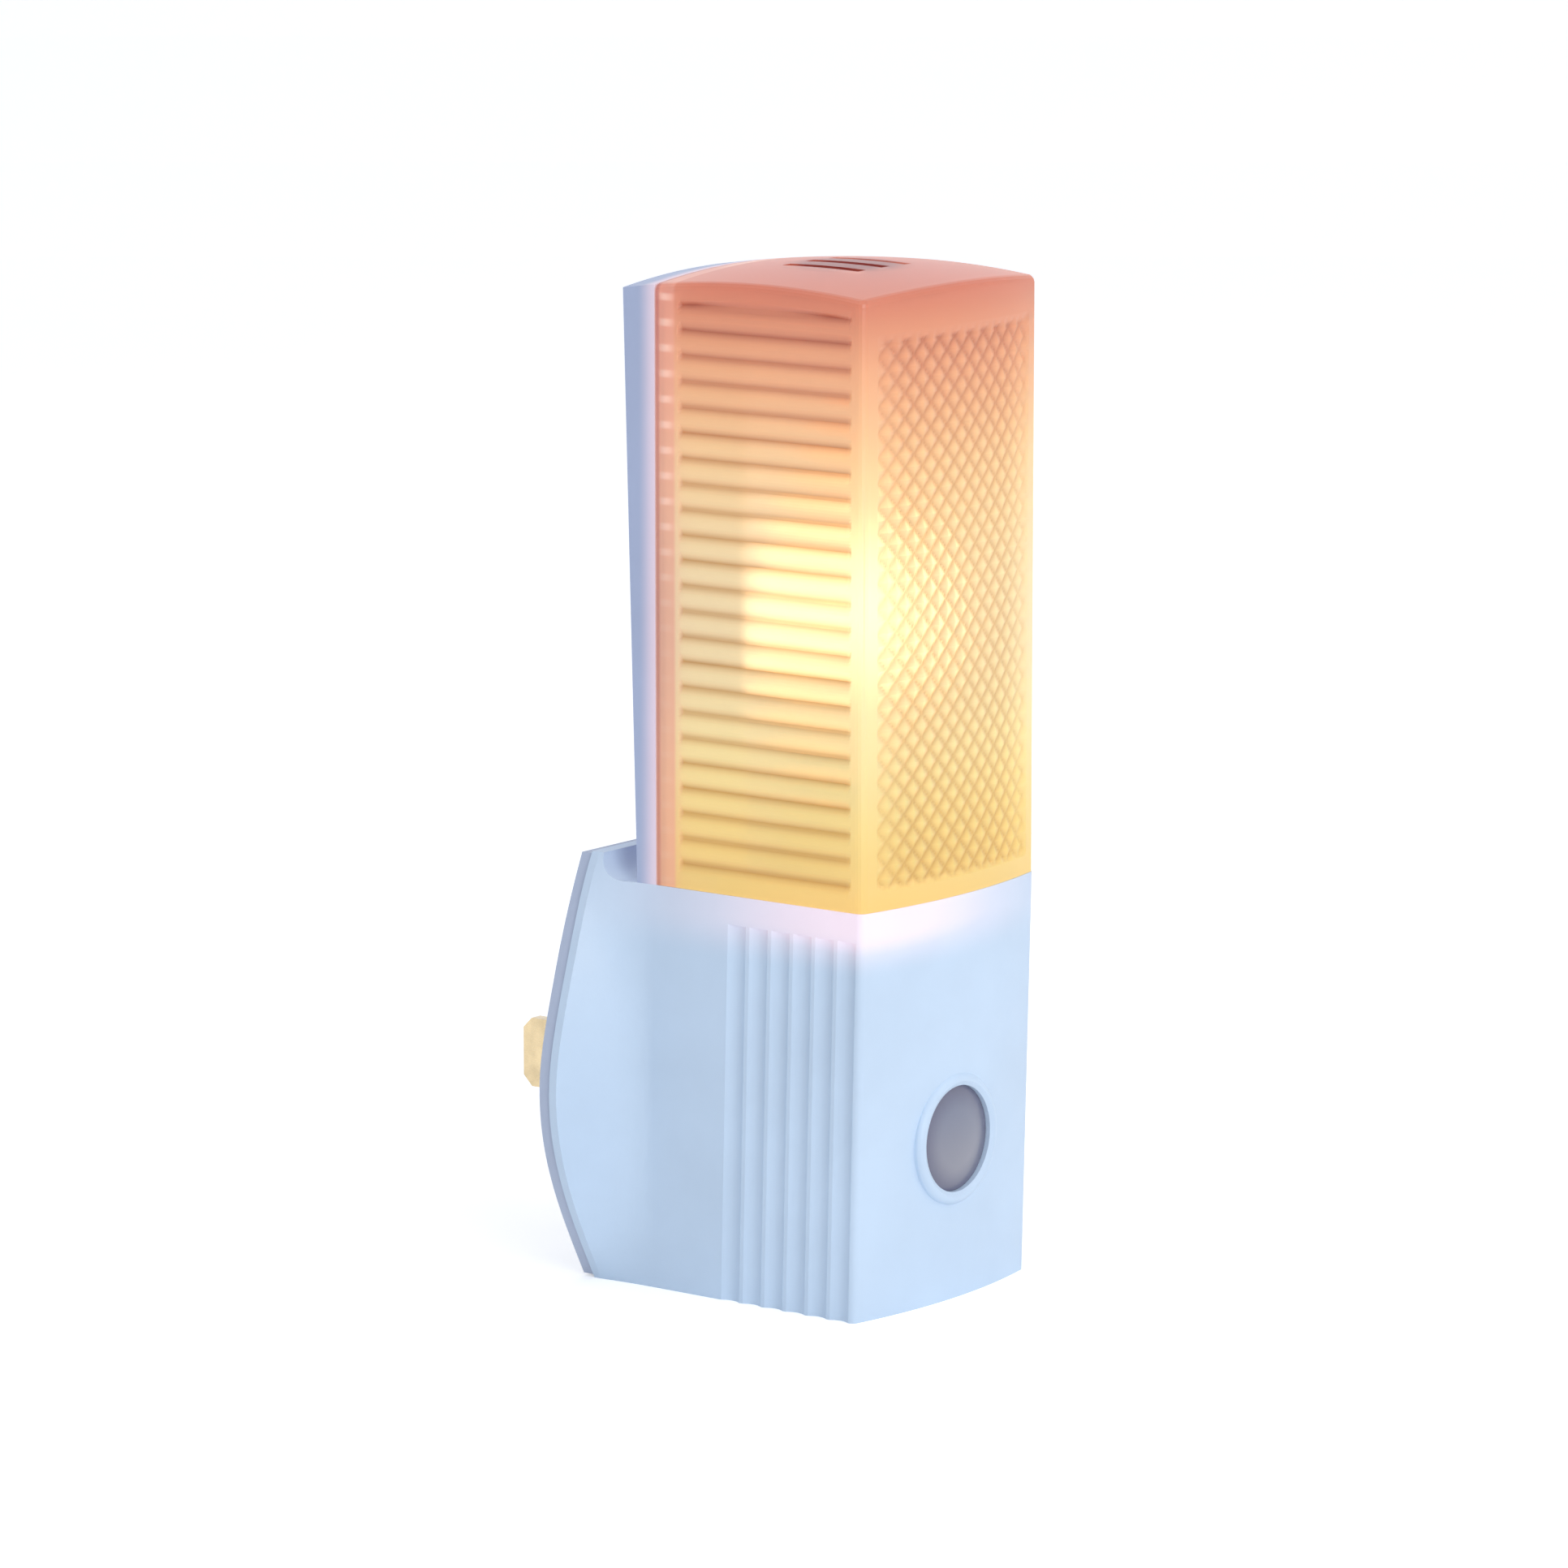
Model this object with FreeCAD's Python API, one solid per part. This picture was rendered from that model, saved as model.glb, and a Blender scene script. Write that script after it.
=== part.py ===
import FreeCAD, Part

import math
import os

from FreeCAD import Vector

# Millimetres. The back of the night light lies on the wall plane y = 0, and the room is towards -Y.
# The origin is midway between the two blades of the plug. X runs to the right as seen from the room.

# Main body
body_width = 32.0
corner_to_wall = 38.4
front_bow = 1.8
housing_height = 45.6
lens_height = 66.4
lens_depth = 28.0
lens_crown = 1.9
plug_height = 22.0
front_lean = 1.1
body_corner = 0.9
wall = 1.8
deck_thickness = 2.0

# Flared rear flange and its cover
bulge_reach = 8.7
bulge_height = 21.0
flange_lip = 0.4
flange_rise = 2.9
flange_curve = 1.1
flange_rim = 1.0
flange_stations = 7
crease_setback = 0.8
upstand = 1.6
scoop_radius = 2.8
cover_thickness = 1.6
cover_inset = 0.3

# Fluted side panels of the housing
flute_count = 6
flute_pitch = 3.0
flute_width = 2.5
flute_depth = 0.45
flute_start = 1.9
flute_top_band = 3.2

# Round light sensor
sensor_height = 18.2
window_radius = 5.9
window_lip = 1.5
window_lip_thickness = 1.0
window_face = 1.4
window_dome = 0.5
window_lip_gap = 0.65
bezel_width = 1.4
bezel_rise = 0.6
cell_radius = 2.6
cell_thickness = 1.8
cell_lead_radius = 0.3
cell_lead_spread = 1.27

# Amber lens
lens_wall = 1.6
lens_corner = 1.2
rib_pitch = 2.8
rib_depth = 0.5
rib_front_margin = 1.9
rib_back_margin = 3.0
rib_foot_margin = 1.6
lip_reach = 1.4
lip_thickness = 1.2
vent_count = 3
vent_width = 1.5
vent_length = 10.0
vent_pitch = 4.2

# White upright behind the lens
tray_foot_share = 0.64
tray_top_depth = 4.6
tray_wall = 1.4
tray_rib_count = 3
rail_thickness = 1.2
rail_end_gap = 3.0
wing_reach = 10.6
wing_thickness = 1.0
tab_width = 5.0
tab_length = 3.6
tab_spacing = 18.0

# Lamp holder
socket_radius = 8.4
socket_rise = 9.5
socket_flange = 2.0
socket_flange_rim = 1.2
socket_ear_radius = 3.0
socket_screw_angle = 45.0
socket_floor = 1.6
shell_radius = 6.45
shell_thickness = 0.35
shell_length = 13.0
shell_recess = 0.5
shell_tab_width = 3.0
shell_tab_length = 4.0
leaf_width = 4.0
leaf_thickness = 0.4
leaf_reach = 4.6
leaf_rise = 2.6
socket_boss_radius = 2.1
socket_boss_height = 2.2

# Bulb
bulb_length = 54.0
bulb_below_deck = 4.0
bulb_radius = 10.9
bulb_neck_radius = 5.0
bulb_neck_in_cap = 4.0
bulb_neck_bare = 1.0
bulb_glass_wall = 0.6
bulb_widest = 29.0
bulb_crown_radius = 3.2535
cap_crest_radius = 5.9
cap_root_radius = 5.45
cap_thickness = 0.3
cap_length = 12.4
thread_pitch = 2.54
tip_radius = 2.2
tip_height = 1.2
insulator_height = 2.4
insulator_lip = 0.3
stem_height = 12.0
stem_radius = 1.7
stem_skirt = 0.6
stem_neck = 6.0
lead_radius = 0.3
lead_spread = 4.6
lead_stub = 1.4
lead_bend = 1.0
filament_height = 33.0
filament_radius = 0.25
filament_sag = 2.2

# Plug, to the two-blade 125 V pattern
blade_spacing = 12.7
blade_thickness = 1.5
blade_length = 16.0
wide_blade = 7.94
narrow_blade = 6.35
blade_hole_radius = 1.6
blade_hole_back = 5.4
blade_chamfer = 1.2
shoulder_overhang = 1.4
shoulder_thickness = 1.4
tail_width = 4.0
tail_length = 6.5
block_length = 22.0
block_height = 14.0
clamp_margin = 0.5
block_depth = 4.0
clamp_depth = 3.0
clamp_pad = 6.0

# Circuit board and its parts
board_ahead_of_lamp = 5.0
board_thickness = 1.6
board_height = 32.4
guide_width = 1.2
guide_reach = 1.6
guide_height = 28.0
board_margin = 3.4
axial_lead_reach = 1.6
axial_bend = 0.8
resistor_radius = 1.2
resistor_length = 6.3
diac_radius = 0.9
diac_length = 3.8
capacitor_radius = 4.0
capacitor_thickness = 2.6
capacitor_stand = 2.0
capacitor_leg_spread = 2.2
triac_radius = 2.4
triac_height = 4.8
triac_stand = 3.0
wire_radius = 0.8
wire_bend = 2.2
wire_room = 5.0
wire_stub = 2.6
shell_wire_dip = 6.0

# Screws
screw_radius = 1.25
screw_head_radius = 2.5
screw_head_height = 1.4
screw_recess_width = 0.7
screw_recess_depth = 0.8
screw_tip_room = 0.5
screw_hole_end = 1.0
cover_screw_length = 8.0
boss_radius = 3.2
boss_length = 8.8
boss_offset = 4.2

# Clearances
running_gap = 0.3
slide_gap = 0.2
seat_gap = 0.05
fixed_gap = 0.05
board_gap = 0.1

# Levels and planes that the pieces share
half_width = body_width / 2
floor_z = -plug_height
deck_z = floor_z + housing_height
deck_under_z = deck_z - deck_thickness
lens_top_z = deck_z + lens_height
flange_top_z = deck_z + flange_rise
bulge_z = floor_z + bulge_height
rim_y = -cover_thickness
corner_y = -corner_to_wall
front_y = corner_y - front_bow
lens_back_y = corner_y + lens_depth
crease_y = lens_back_y + crease_setback
lamp_y = (corner_y + lens_back_y) / 2
bow_radius = (half_width ** 2 + front_bow ** 2) / (2 * front_bow)
bow_centre_y = front_y + bow_radius
sensor_z = floor_z + sensor_height
sensor_face_y = front_y + front_lean * (1 - sensor_height / housing_height)
socket_screw_circle = socket_radius + screw_head_radius + board_gap
bulb_foot_z = deck_z - bulb_below_deck
leaf_top_z = bulb_foot_z - seat_gap
socket_floor_z = leaf_top_z - leaf_rise
board_back_y = lamp_y - board_ahead_of_lamp
board_front_y = board_back_y - board_thickness
scoop_wall_y = rim_y - upstand
scoop_start_y = scoop_wall_y - scoop_radius
cover_boss_y = rim_y - cover_thickness
block_front_y = rim_y - block_depth
shoulder_front_y = block_front_y - shoulder_thickness
clamp_front_y = shoulder_front_y - clamp_depth
tail_end_y = shoulder_front_y - tail_length
beyond = 5.0

up = Vector(0, 0, 1)
to_wall = Vector(0, 1, 0)
to_room = Vector(0, -1, 0)
right = Vector(1, 0, 0)


def save(name, shape):
    shape.exportStep(os.path.join("parts", name + ".step"))


def box(x_range, y_range, z_range):
    low = Vector(x_range[0], y_range[0], z_range[0])
    size = [span[1] - span[0] for span in (x_range, y_range, z_range)]
    return Part.makeBox(size[0], size[1], size[2], low)


def around(centre, size):
    return (centre - size / 2, centre + size / 2)


def rod(radius, base, direction, length):
    return Part.makeCylinder(radius, length, base, direction)


def fuse(shapes):
    joined = shapes[0]
    for shape in shapes[1:]:
        joined = joined.fuse(shape)
    return joined.removeSplitter()


def cut(shape, tools):
    for tool in tools:
        shape = shape.cut(tool)
    return shape


def both_sides(shape):
    return [shape, shape.mirror(Vector(0, 0, 0), right)]


def closed_face(edges):
    return Part.Face(Part.Wire(Part.__sortEdges__(edges)))


def polygon_face(points):
    return Part.Face(Part.makePolygon([Vector(p) for p in points] + [Vector(points[0])]))


def segments(points):
    return [Part.makeLine(Vector(a), Vector(b)) for a, b in zip(points, points[1:])]


def revolve(edges, centre, axis):
    return closed_face(edges).revolve(centre, axis, 360)


def wire_along(points, radius, bend):
    """A round wire along straight runs joined by tangent arcs."""
    corners = [Vector(p) for p in points]
    pieces = []
    start = corners[0]
    for before, corner, after in zip(corners, corners[1:], corners[2:]):
        inward = (before - corner).normalize()
        outward = (after - corner).normalize()
        turn = math.pi - inward.getAngle(outward)
        setback = bend * math.tan(turn / 2)
        first = corner + inward * setback
        last = corner + outward * setback
        centre = corner + (inward + outward).normalize() * math.hypot(setback, bend)
        pieces.append(rod(radius, start, first - start, (first - start).Length))
        ring = Part.Face(Part.Wire(Part.makeCircle(radius, first, inward)))
        axis = (first - centre).cross(last - centre)
        pieces.append(ring.revolve(centre, axis, math.degrees(turn)))
        start = last
    pieces.append(rod(radius, start, corners[-1] - start, (corners[-1] - start).Length))
    return fuse(pieces)


def is_front_corner(edge, half, height):
    """True for the upright edge at either front corner of a prism."""
    ends = edge.Vertexes
    upright = abs(abs(ends[0].Z - ends[1].Z) - height) < fixed_gap
    return upright and abs(abs(ends[0].X) - half) < fixed_gap and ends[0].Y < lamp_y


def column(inset, back_y, z_low, z_high, corner, lean=0.0):
    """The body's plan, set in by a wall and raised; its front may lean back towards the foot."""
    half = half_width - inset
    height = z_high - z_low
    rise = Vector(0, -lean, height)
    drum_foot = Vector(0, bow_centre_y + lean, z_low) - rise
    drum = rod(bow_radius - inset, drum_foot, rise, 3 * rise.Length)
    prism = box((-half, half), (front_y - beyond, back_y), (z_low, z_high)).common(drum)
    upright = [edge for edge in prism.Edges if is_front_corner(edge, half, height)]
    return prism.makeFillet(corner, upright)


def lean_at(z):
    """How far the housing's front lies behind its top edge at a height."""
    return front_lean * (deck_z - z) / housing_height


def crown_ball(inset):
    """The ball whose cap is the crowned top of the lens."""
    reach = math.hypot(half_width, lens_depth / 2)
    radius = (reach ** 2 + lens_crown ** 2) / (2 * lens_crown)
    centre = Vector(0, lamp_y, lens_top_z + lens_crown - radius)
    return Part.makeSphere(radius - inset, centre)


def flange_half(z):
    """Half the flange's width at a height: a lip at both ends and a bulge between them."""
    if z < bulge_z:
        share = (z - floor_z) / bulge_height
    else:
        share = (flange_top_z - z) / (flange_top_z - bulge_z)
    swell = flange_lip + (bulge_reach - flange_lip) * share
    return half_width + swell + 4 * flange_curve * share * (1 - share)


def flare_section(z, inset, back_y):
    reach = flange_half(z) - inset
    half = half_width - inset
    rim_front_y = rim_y - flange_rim
    bend_y = (crease_y + rim_front_y) / 2
    cove = Part.BezierCurve()
    cove.setPoles([Vector(half, crease_y, z), Vector(half, bend_y, z), Vector(reach, rim_front_y, z)])
    far_cove = Part.BezierCurve()
    far_poles = [Vector(-reach, rim_front_y, z), Vector(-half, bend_y, z), Vector(-half, crease_y, z)]
    far_cove.setPoles(far_poles)
    near_side = [(reach, rim_front_y, z), (reach, back_y, z)]
    far_side = [(-reach, back_y, z), (-reach, rim_front_y, z)]
    rim = segments(near_side + far_side)
    front = segments([(-half, crease_y, z), (half, crease_y, z)])
    return Part.Wire([cove.toShape()] + rim + [far_cove.toShape()] + front)


def flare(inset, z_low, z_high, back_y):
    steps = flange_stations - 1
    levels = [z_low + (z_high - z_low) * i / steps for i in range(flange_stations)]
    return Part.makeLoft([flare_section(z, inset, back_y) for z in levels], True, False)


def flange_plate(inset, y_back, thickness):
    steps = flange_stations - 1
    low = floor_z + inset
    high = flange_top_z - inset
    levels = [low + (high - low) * i / steps for i in range(flange_stations)]
    side = Part.BSplineCurve()
    side.interpolate([Vector(flange_half(z) - inset, y_back, z) for z in levels])
    far = Part.BSplineCurve()
    far.interpolate([Vector(inset - flange_half(z), y_back, z) for z in reversed(levels)])
    top_half = flange_half(high) - inset
    foot_half = flange_half(low) - inset
    top = segments([(top_half, y_back, high), (-top_half, y_back, high)])
    foot = segments([(-foot_half, y_back, low), (foot_half, y_back, low)])
    outline = Part.Wire([side.toShape()] + top + [far.toShape()] + foot)
    return Part.Face(outline).extrude(to_room * thickness)


def scoop():
    """The hollow behind the upright, which leaves a thin upstand at the wall."""
    rise = flange_top_z - deck_z
    half_turn = math.sin(math.pi / 4)
    middle = Vector(0, scoop_start_y + scoop_radius * half_turn, flange_top_z - rise * half_turn)
    lowest = Vector(0, scoop_wall_y, flange_top_z)
    hollow = Part.Arc(Vector(0, scoop_start_y, deck_z), middle, lowest).toShape()
    rest = segments([
        (0, scoop_wall_y, flange_top_z),
        (0, scoop_wall_y, flange_top_z + beyond),
        (0, front_y, flange_top_z + beyond),
        (0, front_y, deck_z),
        (0, scoop_start_y, deck_z),
    ])
    span = 2 * (half_width + bulge_reach)
    shape = closed_face([hollow] + rest).extrude(right * span)
    shape.translate(Vector(-span / 2, 0, 0))
    return shape


def side_flutes():
    """Upright hollows along both side panels, parallel to the leaning front and open at the foot."""
    radius = ((flute_width / 2) ** 2 + flute_depth ** 2) / (2 * flute_depth)
    axis_x = half_width + radius - flute_depth
    top_z = deck_z - flute_top_band
    tools = []
    for i in range(flute_count):
        centre_y = corner_y + flute_start + i * flute_pitch
        foot = Vector(axis_x, centre_y + lean_at(floor_z - beyond), floor_z - beyond)
        head = Vector(axis_x, centre_y + lean_at(top_z), top_z)
        flute = rod(radius, foot, head - foot, (head - foot).Length)
        tools += both_sides(flute)
    return tools


def screw_places():
    return [deck_under_z - boss_offset, floor_z + wall + boss_offset]


def socket_screw_places(z):
    """The lamp holder's two screws lie on a diagonal, one each side of the bulb."""
    angle = math.radians(socket_screw_angle)
    across = Vector(math.cos(angle), math.sin(angle), 0) * socket_screw_circle
    return [Vector(0, lamp_y, z) + across, Vector(0, lamp_y, z) - across]


def sensor_axis(y):
    return Vector(0, y, sensor_z)


def bezel_ring():
    """The rounded ring that stands round the sensor opening."""
    inner = window_radius + fixed_gap
    outer = inner + bezel_width
    proud_y = sensor_face_y - bezel_rise
    root_y = sensor_face_y + wall / 2
    crest = Part.Arc(
        Vector(inner + bezel_width * 0.35, proud_y, sensor_z),
        Vector(inner + bezel_width * 0.8, proud_y + bezel_rise * 0.3, sensor_z),
        Vector(outer, sensor_face_y, sensor_z),
    ).toShape()
    rest = segments([
        (outer, sensor_face_y, sensor_z),
        (outer, root_y, sensor_z),
        (inner, root_y, sensor_z),
        (inner, proud_y + bezel_rise * 0.5, sensor_z),
        (inner + bezel_width * 0.35, proud_y, sensor_z),
    ])
    return revolve([crest] + rest, sensor_axis(0), to_wall)


def make_front_housing():
    body = column(0, crease_y, floor_z, deck_z, body_corner, front_lean)
    body = fuse([body, flare(0, floor_z, flange_top_z, rim_y)])
    body = body.cut(scoop())
    hollow_floor = floor_z + wall
    hollow = column(wall, crease_y, hollow_floor, deck_under_z, body_corner, lean_at(hollow_floor))
    rear_hollow = flare(wall, hollow_floor, deck_under_z, rim_y + beyond)
    body = cut(body, [hollow, rear_hollow])
    body = cut(body, side_flutes())

    # The collar that the lens drops over
    collar_inset = lens_wall + running_gap
    collar_back = lens_back_y - lip_thickness - rail_thickness - beyond
    collar_top = deck_z + rail_thickness
    collar = column(collar_inset, collar_back, deck_z, collar_top, lens_corner)
    inner = column(collar_inset + rail_thickness, collar_back + beyond, deck_z, collar_top, lens_corner)
    additions = [collar.cut(inner), bezel_ring()]

    # Bosses for the cover screws, carried by the deck and the floor
    for z, carrier_z in zip(screw_places(), (deck_under_z, hollow_floor)):
        additions.append(rod(boss_radius, Vector(0, cover_boss_y, z), to_room, boss_length))
        web = sorted((z, carrier_z))
        boss_end_y = cover_boss_y - boss_length
        additions.append(box(around(0, wall), (boss_end_y, cover_boss_y), (web[0], web[1])))

    # Guides for the edges of the circuit board
    guide_x = (half_width - wall - guide_reach, half_width - wall)
    guide_z = (hollow_floor, hollow_floor + guide_height)
    behind = board_back_y + board_gap
    ahead = board_front_y - board_gap
    for y_range in ((behind, behind + guide_width), (ahead - guide_width, ahead)):
        additions += both_sides(box(guide_x, y_range, guide_z))

    # Bosses on the deck for the lamp holder's screws
    for place in socket_screw_places(deck_z):
        additions.append(rod(socket_boss_radius, place, up, socket_boss_height))
    body = fuse([body] + additions)

    # Openings for the sensor, the lamp holder, the upright's tabs and the screws
    tools = [rod(window_radius + fixed_gap, sensor_axis(front_y - beyond), to_wall, beyond + 2 * wall)]
    socket_base = Vector(0, lamp_y, deck_under_z - beyond)
    tools.append(rod(socket_radius + board_gap, socket_base, up, 2 * beyond + wall))
    tab_y = lens_back_y + slide_gap
    tab_x = around(tab_spacing / 2, tab_width + 2 * board_gap)
    slot_y = (tab_y - board_gap, tab_y + tray_wall + board_gap)
    tab_slot = box(tab_x, slot_y, (deck_under_z - beyond, deck_z + beyond))
    tools += both_sides(tab_slot)
    hole_radius = screw_radius + fixed_gap
    cover_hole = cover_screw_length - cover_thickness + screw_tip_room
    for z in screw_places():
        tools.append(rod(hole_radius, Vector(0, cover_boss_y, z), to_room, cover_hole))
    socket_hole = deck_thickness + socket_boss_height - screw_hole_end
    for place in socket_screw_places(deck_under_z - seat_gap):
        tools.append(rod(hole_radius, place, up, socket_hole))
    return cut(body, tools)


def make_rear_cover():
    plate = flange_plate(cover_inset, 0, cover_thickness)
    pieces = [plate]
    block_y = (block_front_y, rim_y)
    pieces.append(box(around(0, block_length), block_y, around(0, block_height)))
    for z in screw_places():
        pieces.append(rod(boss_radius + wall / 2, Vector(0, rim_y, z), to_room, cover_thickness - seat_gap))
    body = fuse(pieces)
    tools = []
    for z in screw_places():
        tools.append(rod(screw_head_radius + running_gap, Vector(0, 0, z), to_room, cover_thickness))
        tools.append(rod(screw_radius + running_gap, Vector(0, 0, z), to_room, 2 * cover_thickness))
    for side, width in blade_sides():
        x_range = around(side * blade_spacing / 2, blade_thickness + 2 * fixed_gap)
        tools.append(box(x_range, (block_front_y, beyond), around(0, width + 2 * fixed_gap)))
    screw_base = Vector(0, block_front_y, 0)
    tools.append(rod(screw_radius + fixed_gap, screw_base, to_wall, block_depth - screw_hole_end))
    return cut(body, tools)


def blade_sides():
    return [(-1, wide_blade), (1, narrow_blade)]


def make_blade(side, width):
    x_range = around(side * blade_spacing / 2, blade_thickness)
    half = width / 2
    end = blade_length
    outline = [
        (x_range[0], block_front_y, -half),
        (x_range[0], end - blade_chamfer, -half),
        (x_range[0], end, blade_chamfer - half),
        (x_range[0], end, half - blade_chamfer),
        (x_range[0], end - blade_chamfer, half),
        (x_range[0], block_front_y, half),
    ]
    prong = polygon_face(outline).extrude(right * blade_thickness)
    shoulder_height = width + 2 * shoulder_overhang
    shoulder = box(x_range, (shoulder_front_y, block_front_y), around(0, shoulder_height))
    tail = box(x_range, (tail_end_y, shoulder_front_y), around(0, tail_width))
    blade = fuse([prong, shoulder, tail])
    hole_base = Vector(x_range[0] - beyond, end - blade_hole_back, 0)
    return blade.cut(rod(blade_hole_radius, hole_base, right, blade_thickness + 2 * beyond))


def make_blade_clamp():
    z_range = around(0, block_height - 2 * clamp_margin)
    bar = box(around(0, block_length), (clamp_front_y, shoulder_front_y), z_range)
    pad = box(around(0, clamp_pad), (shoulder_front_y, block_front_y), z_range)
    clamp = fuse([bar, pad])
    tools = [rod(screw_radius + running_gap, Vector(0, clamp_front_y, 0), to_wall, clamp_depth + beyond)]
    for side, width in blade_sides():
        x_range = around(side * blade_spacing / 2, blade_thickness + 2 * fixed_gap)
        slot_z = around(0, tail_width + 2 * fixed_gap)
        tools.append(box(x_range, (clamp_front_y, shoulder_front_y), slot_z))
    return cut(clamp, tools)


def make_screw(seat, direction, length):
    """A pan-head screw: the head stands behind its seat and the shank runs along the direction."""
    head = rod(screw_head_radius, seat, direction * -1, screw_head_height)
    shank = rod(screw_radius, seat, direction, length)
    screw = fuse([head, shank])
    top = seat - direction * screw_head_height
    cross = [up, right] if abs(direction.z) < 0.5 else [to_wall, right]
    for arm in cross:
        side = arm.cross(direction)
        corner = top - arm * (screw_head_radius * 0.6) - side * (screw_recess_width / 2)
        slot = Part.makePolygon([
            corner,
            corner + arm * (screw_head_radius * 1.2),
            corner + arm * (screw_head_radius * 1.2) + side * screw_recess_width,
            corner + side * screw_recess_width,
            corner,
        ])
        screw = screw.cut(Part.Face(slot).extrude(direction * screw_recess_depth))
    return screw


def make_cover_screws():
    return Part.makeCompound([
        make_screw(Vector(0, -cover_thickness, z), to_room, cover_screw_length) for z in screw_places()
    ])


def make_clamp_screw():
    length = rim_y - clamp_front_y - screw_hole_end - screw_tip_room
    return make_screw(Vector(0, clamp_front_y, 0), to_wall, length)


def make_socket_screws():
    seat_z = deck_under_z - seat_gap - socket_flange
    length = socket_flange + deck_thickness + socket_boss_height - screw_hole_end - screw_tip_room
    return Part.makeCompound([make_screw(place, up, length) for place in socket_screw_places(seat_z)])


def lens_ribs():
    """Comb cutters for the level ribs on both sides of the lens."""
    foot = deck_z + rib_foot_margin
    count = int((lens_height - 2 * rib_foot_margin) / rib_pitch)
    side_x = half_width
    points = [(side_x + beyond, 0, foot), (side_x, 0, foot)]
    for i in range(count):
        groove_z = foot + (i + 0.5) * rib_pitch
        points.append((side_x - rib_depth, 0, groove_z))
        points.append((side_x, 0, foot + (i + 1) * rib_pitch))
    points.append((side_x + beyond, 0, foot + count * rib_pitch))
    comb = polygon_face(points).extrude(to_room * (lens_depth - rib_front_margin - rib_back_margin))
    comb.translate(Vector(0, lens_back_y - rib_back_margin, 0))
    return both_sides(comb)


def make_lens():
    foot_z = deck_z + seat_gap
    tall = lens_top_z + lens_crown + beyond
    outer = column(0, lens_back_y, foot_z, tall, lens_corner).common(crown_ball(0))
    inner = column(lens_wall, lens_back_y + beyond, foot_z - beyond, tall, lens_corner - lens_wall / 2)
    lens = outer.cut(inner.common(crown_ball(lens_wall)))
    lip_x = (half_width - lens_wall - lip_reach, half_width - lens_wall)
    lip = box(lip_x, (lens_back_y - lip_thickness, lens_back_y), (foot_z, lens_top_z))
    lens = fuse([lens] + both_sides(lip))
    lens = cut(lens, lens_ribs())
    for i in range(vent_count):
        x = (i - (vent_count - 1) / 2) * vent_pitch
        slot = box(around(x, vent_width), around(lamp_y, vent_length), (lens_top_z - 2 * beyond, tall))
        lens = lens.cut(slot)
    return lens


def make_reflector_back():
    front = lens_back_y + slide_gap
    foot_back = lens_back_y + tray_foot_share * (scoop_start_y - lens_back_y)
    top_back = lens_back_y + tray_top_depth
    top_z = lens_top_z + lens_crown
    profile = [(0, front, deck_z), (0, front, top_z), (0, top_back, top_z), (0, foot_back, deck_z)]
    body = polygon_face(profile).extrude(right * body_width)
    body.translate(Vector(-half_width, 0, 0))
    body = body.common(crown_ball(0))
    pocket_foot = deck_z + tray_wall
    pocket_top = lens_top_z - tray_wall
    pocket_count = tray_rib_count + 1
    pocket_height = (pocket_top - pocket_foot - tray_rib_count * tray_wall) / pocket_count
    for i in range(pocket_count):
        low = pocket_foot + i * (pocket_height + tray_wall)
        x_range = around(0, body_width - 2 * tray_wall)
        body = body.cut(box(x_range, (front + tray_wall, 0), (low, low + pocket_height)))

    # Hooked rails that hold the lens's rear lips, with wings that shade the rear of its sides
    stem_outer = half_width - lens_wall - lip_reach - running_gap
    hook_back = lens_back_y - lip_thickness - running_gap
    hook_front = hook_back - rail_thickness
    rail_z = (deck_z + rail_end_gap, lens_top_z - lens_wall - rail_end_gap)
    stem = box((stem_outer - rail_thickness, stem_outer), (hook_front, front), rail_z)
    hook = box((stem_outer, half_width - lens_wall - running_gap), (hook_front, hook_back), rail_z)
    wing_x = (half_width - lens_wall - running_gap - wing_thickness, half_width - lens_wall - running_gap)
    wing = box(wing_x, (lens_back_y - wing_reach, hook_back), rail_z)
    tab = box(around(tab_spacing / 2, tab_width), (front, front + tray_wall), (deck_z - tab_length, deck_z))
    pieces = [body]
    for piece in (stem, hook, wing, tab):
        pieces += both_sides(piece)
    return fuse(pieces)


def make_sensor_window():
    lip_front = sensor_face_y + wall + window_lip_gap
    lip_back = lip_front + window_lip_thickness
    outer = window_radius + window_lip
    dome_y = sensor_face_y - window_dome
    edge_y = sensor_face_y + window_dome / 2
    cup = window_radius - window_face
    cup_y = sensor_face_y + window_face
    dome = Part.Arc(
        Vector(0, dome_y, sensor_z),
        Vector(window_radius / 2, dome_y + (edge_y - dome_y) / 4, sensor_z),
        Vector(window_radius, edge_y, sensor_z),
    ).toShape()
    rest = segments([
        (window_radius, edge_y, sensor_z),
        (window_radius, lip_front, sensor_z),
        (outer, lip_front, sensor_z),
        (outer, lip_back, sensor_z),
        (cup, lip_back, sensor_z),
        (cup, cup_y, sensor_z),
        (0, cup_y, sensor_z),
        (0, dome_y, sensor_z),
    ])
    return revolve([dome] + rest, sensor_axis(0), to_wall)


def cell_front_y():
    return sensor_face_y + window_face + seat_gap


def make_photocell():
    return rod(cell_radius, sensor_axis(cell_front_y()), to_wall, cell_thickness)


def make_photocell_leads():
    start_y = cell_front_y() + cell_thickness
    length = board_front_y - start_y
    return Part.makeCompound([
        rod(cell_lead_radius, Vector(side * cell_lead_spread, start_y, sensor_z), to_wall, length)
        for side in (-1, 1)
    ])


def make_circuit_board():
    foot_z = floor_z + wall
    half = half_width - wall - board_gap
    return box((-half, half), (board_front_y, board_back_y), (foot_z, foot_z + board_height))


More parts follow.
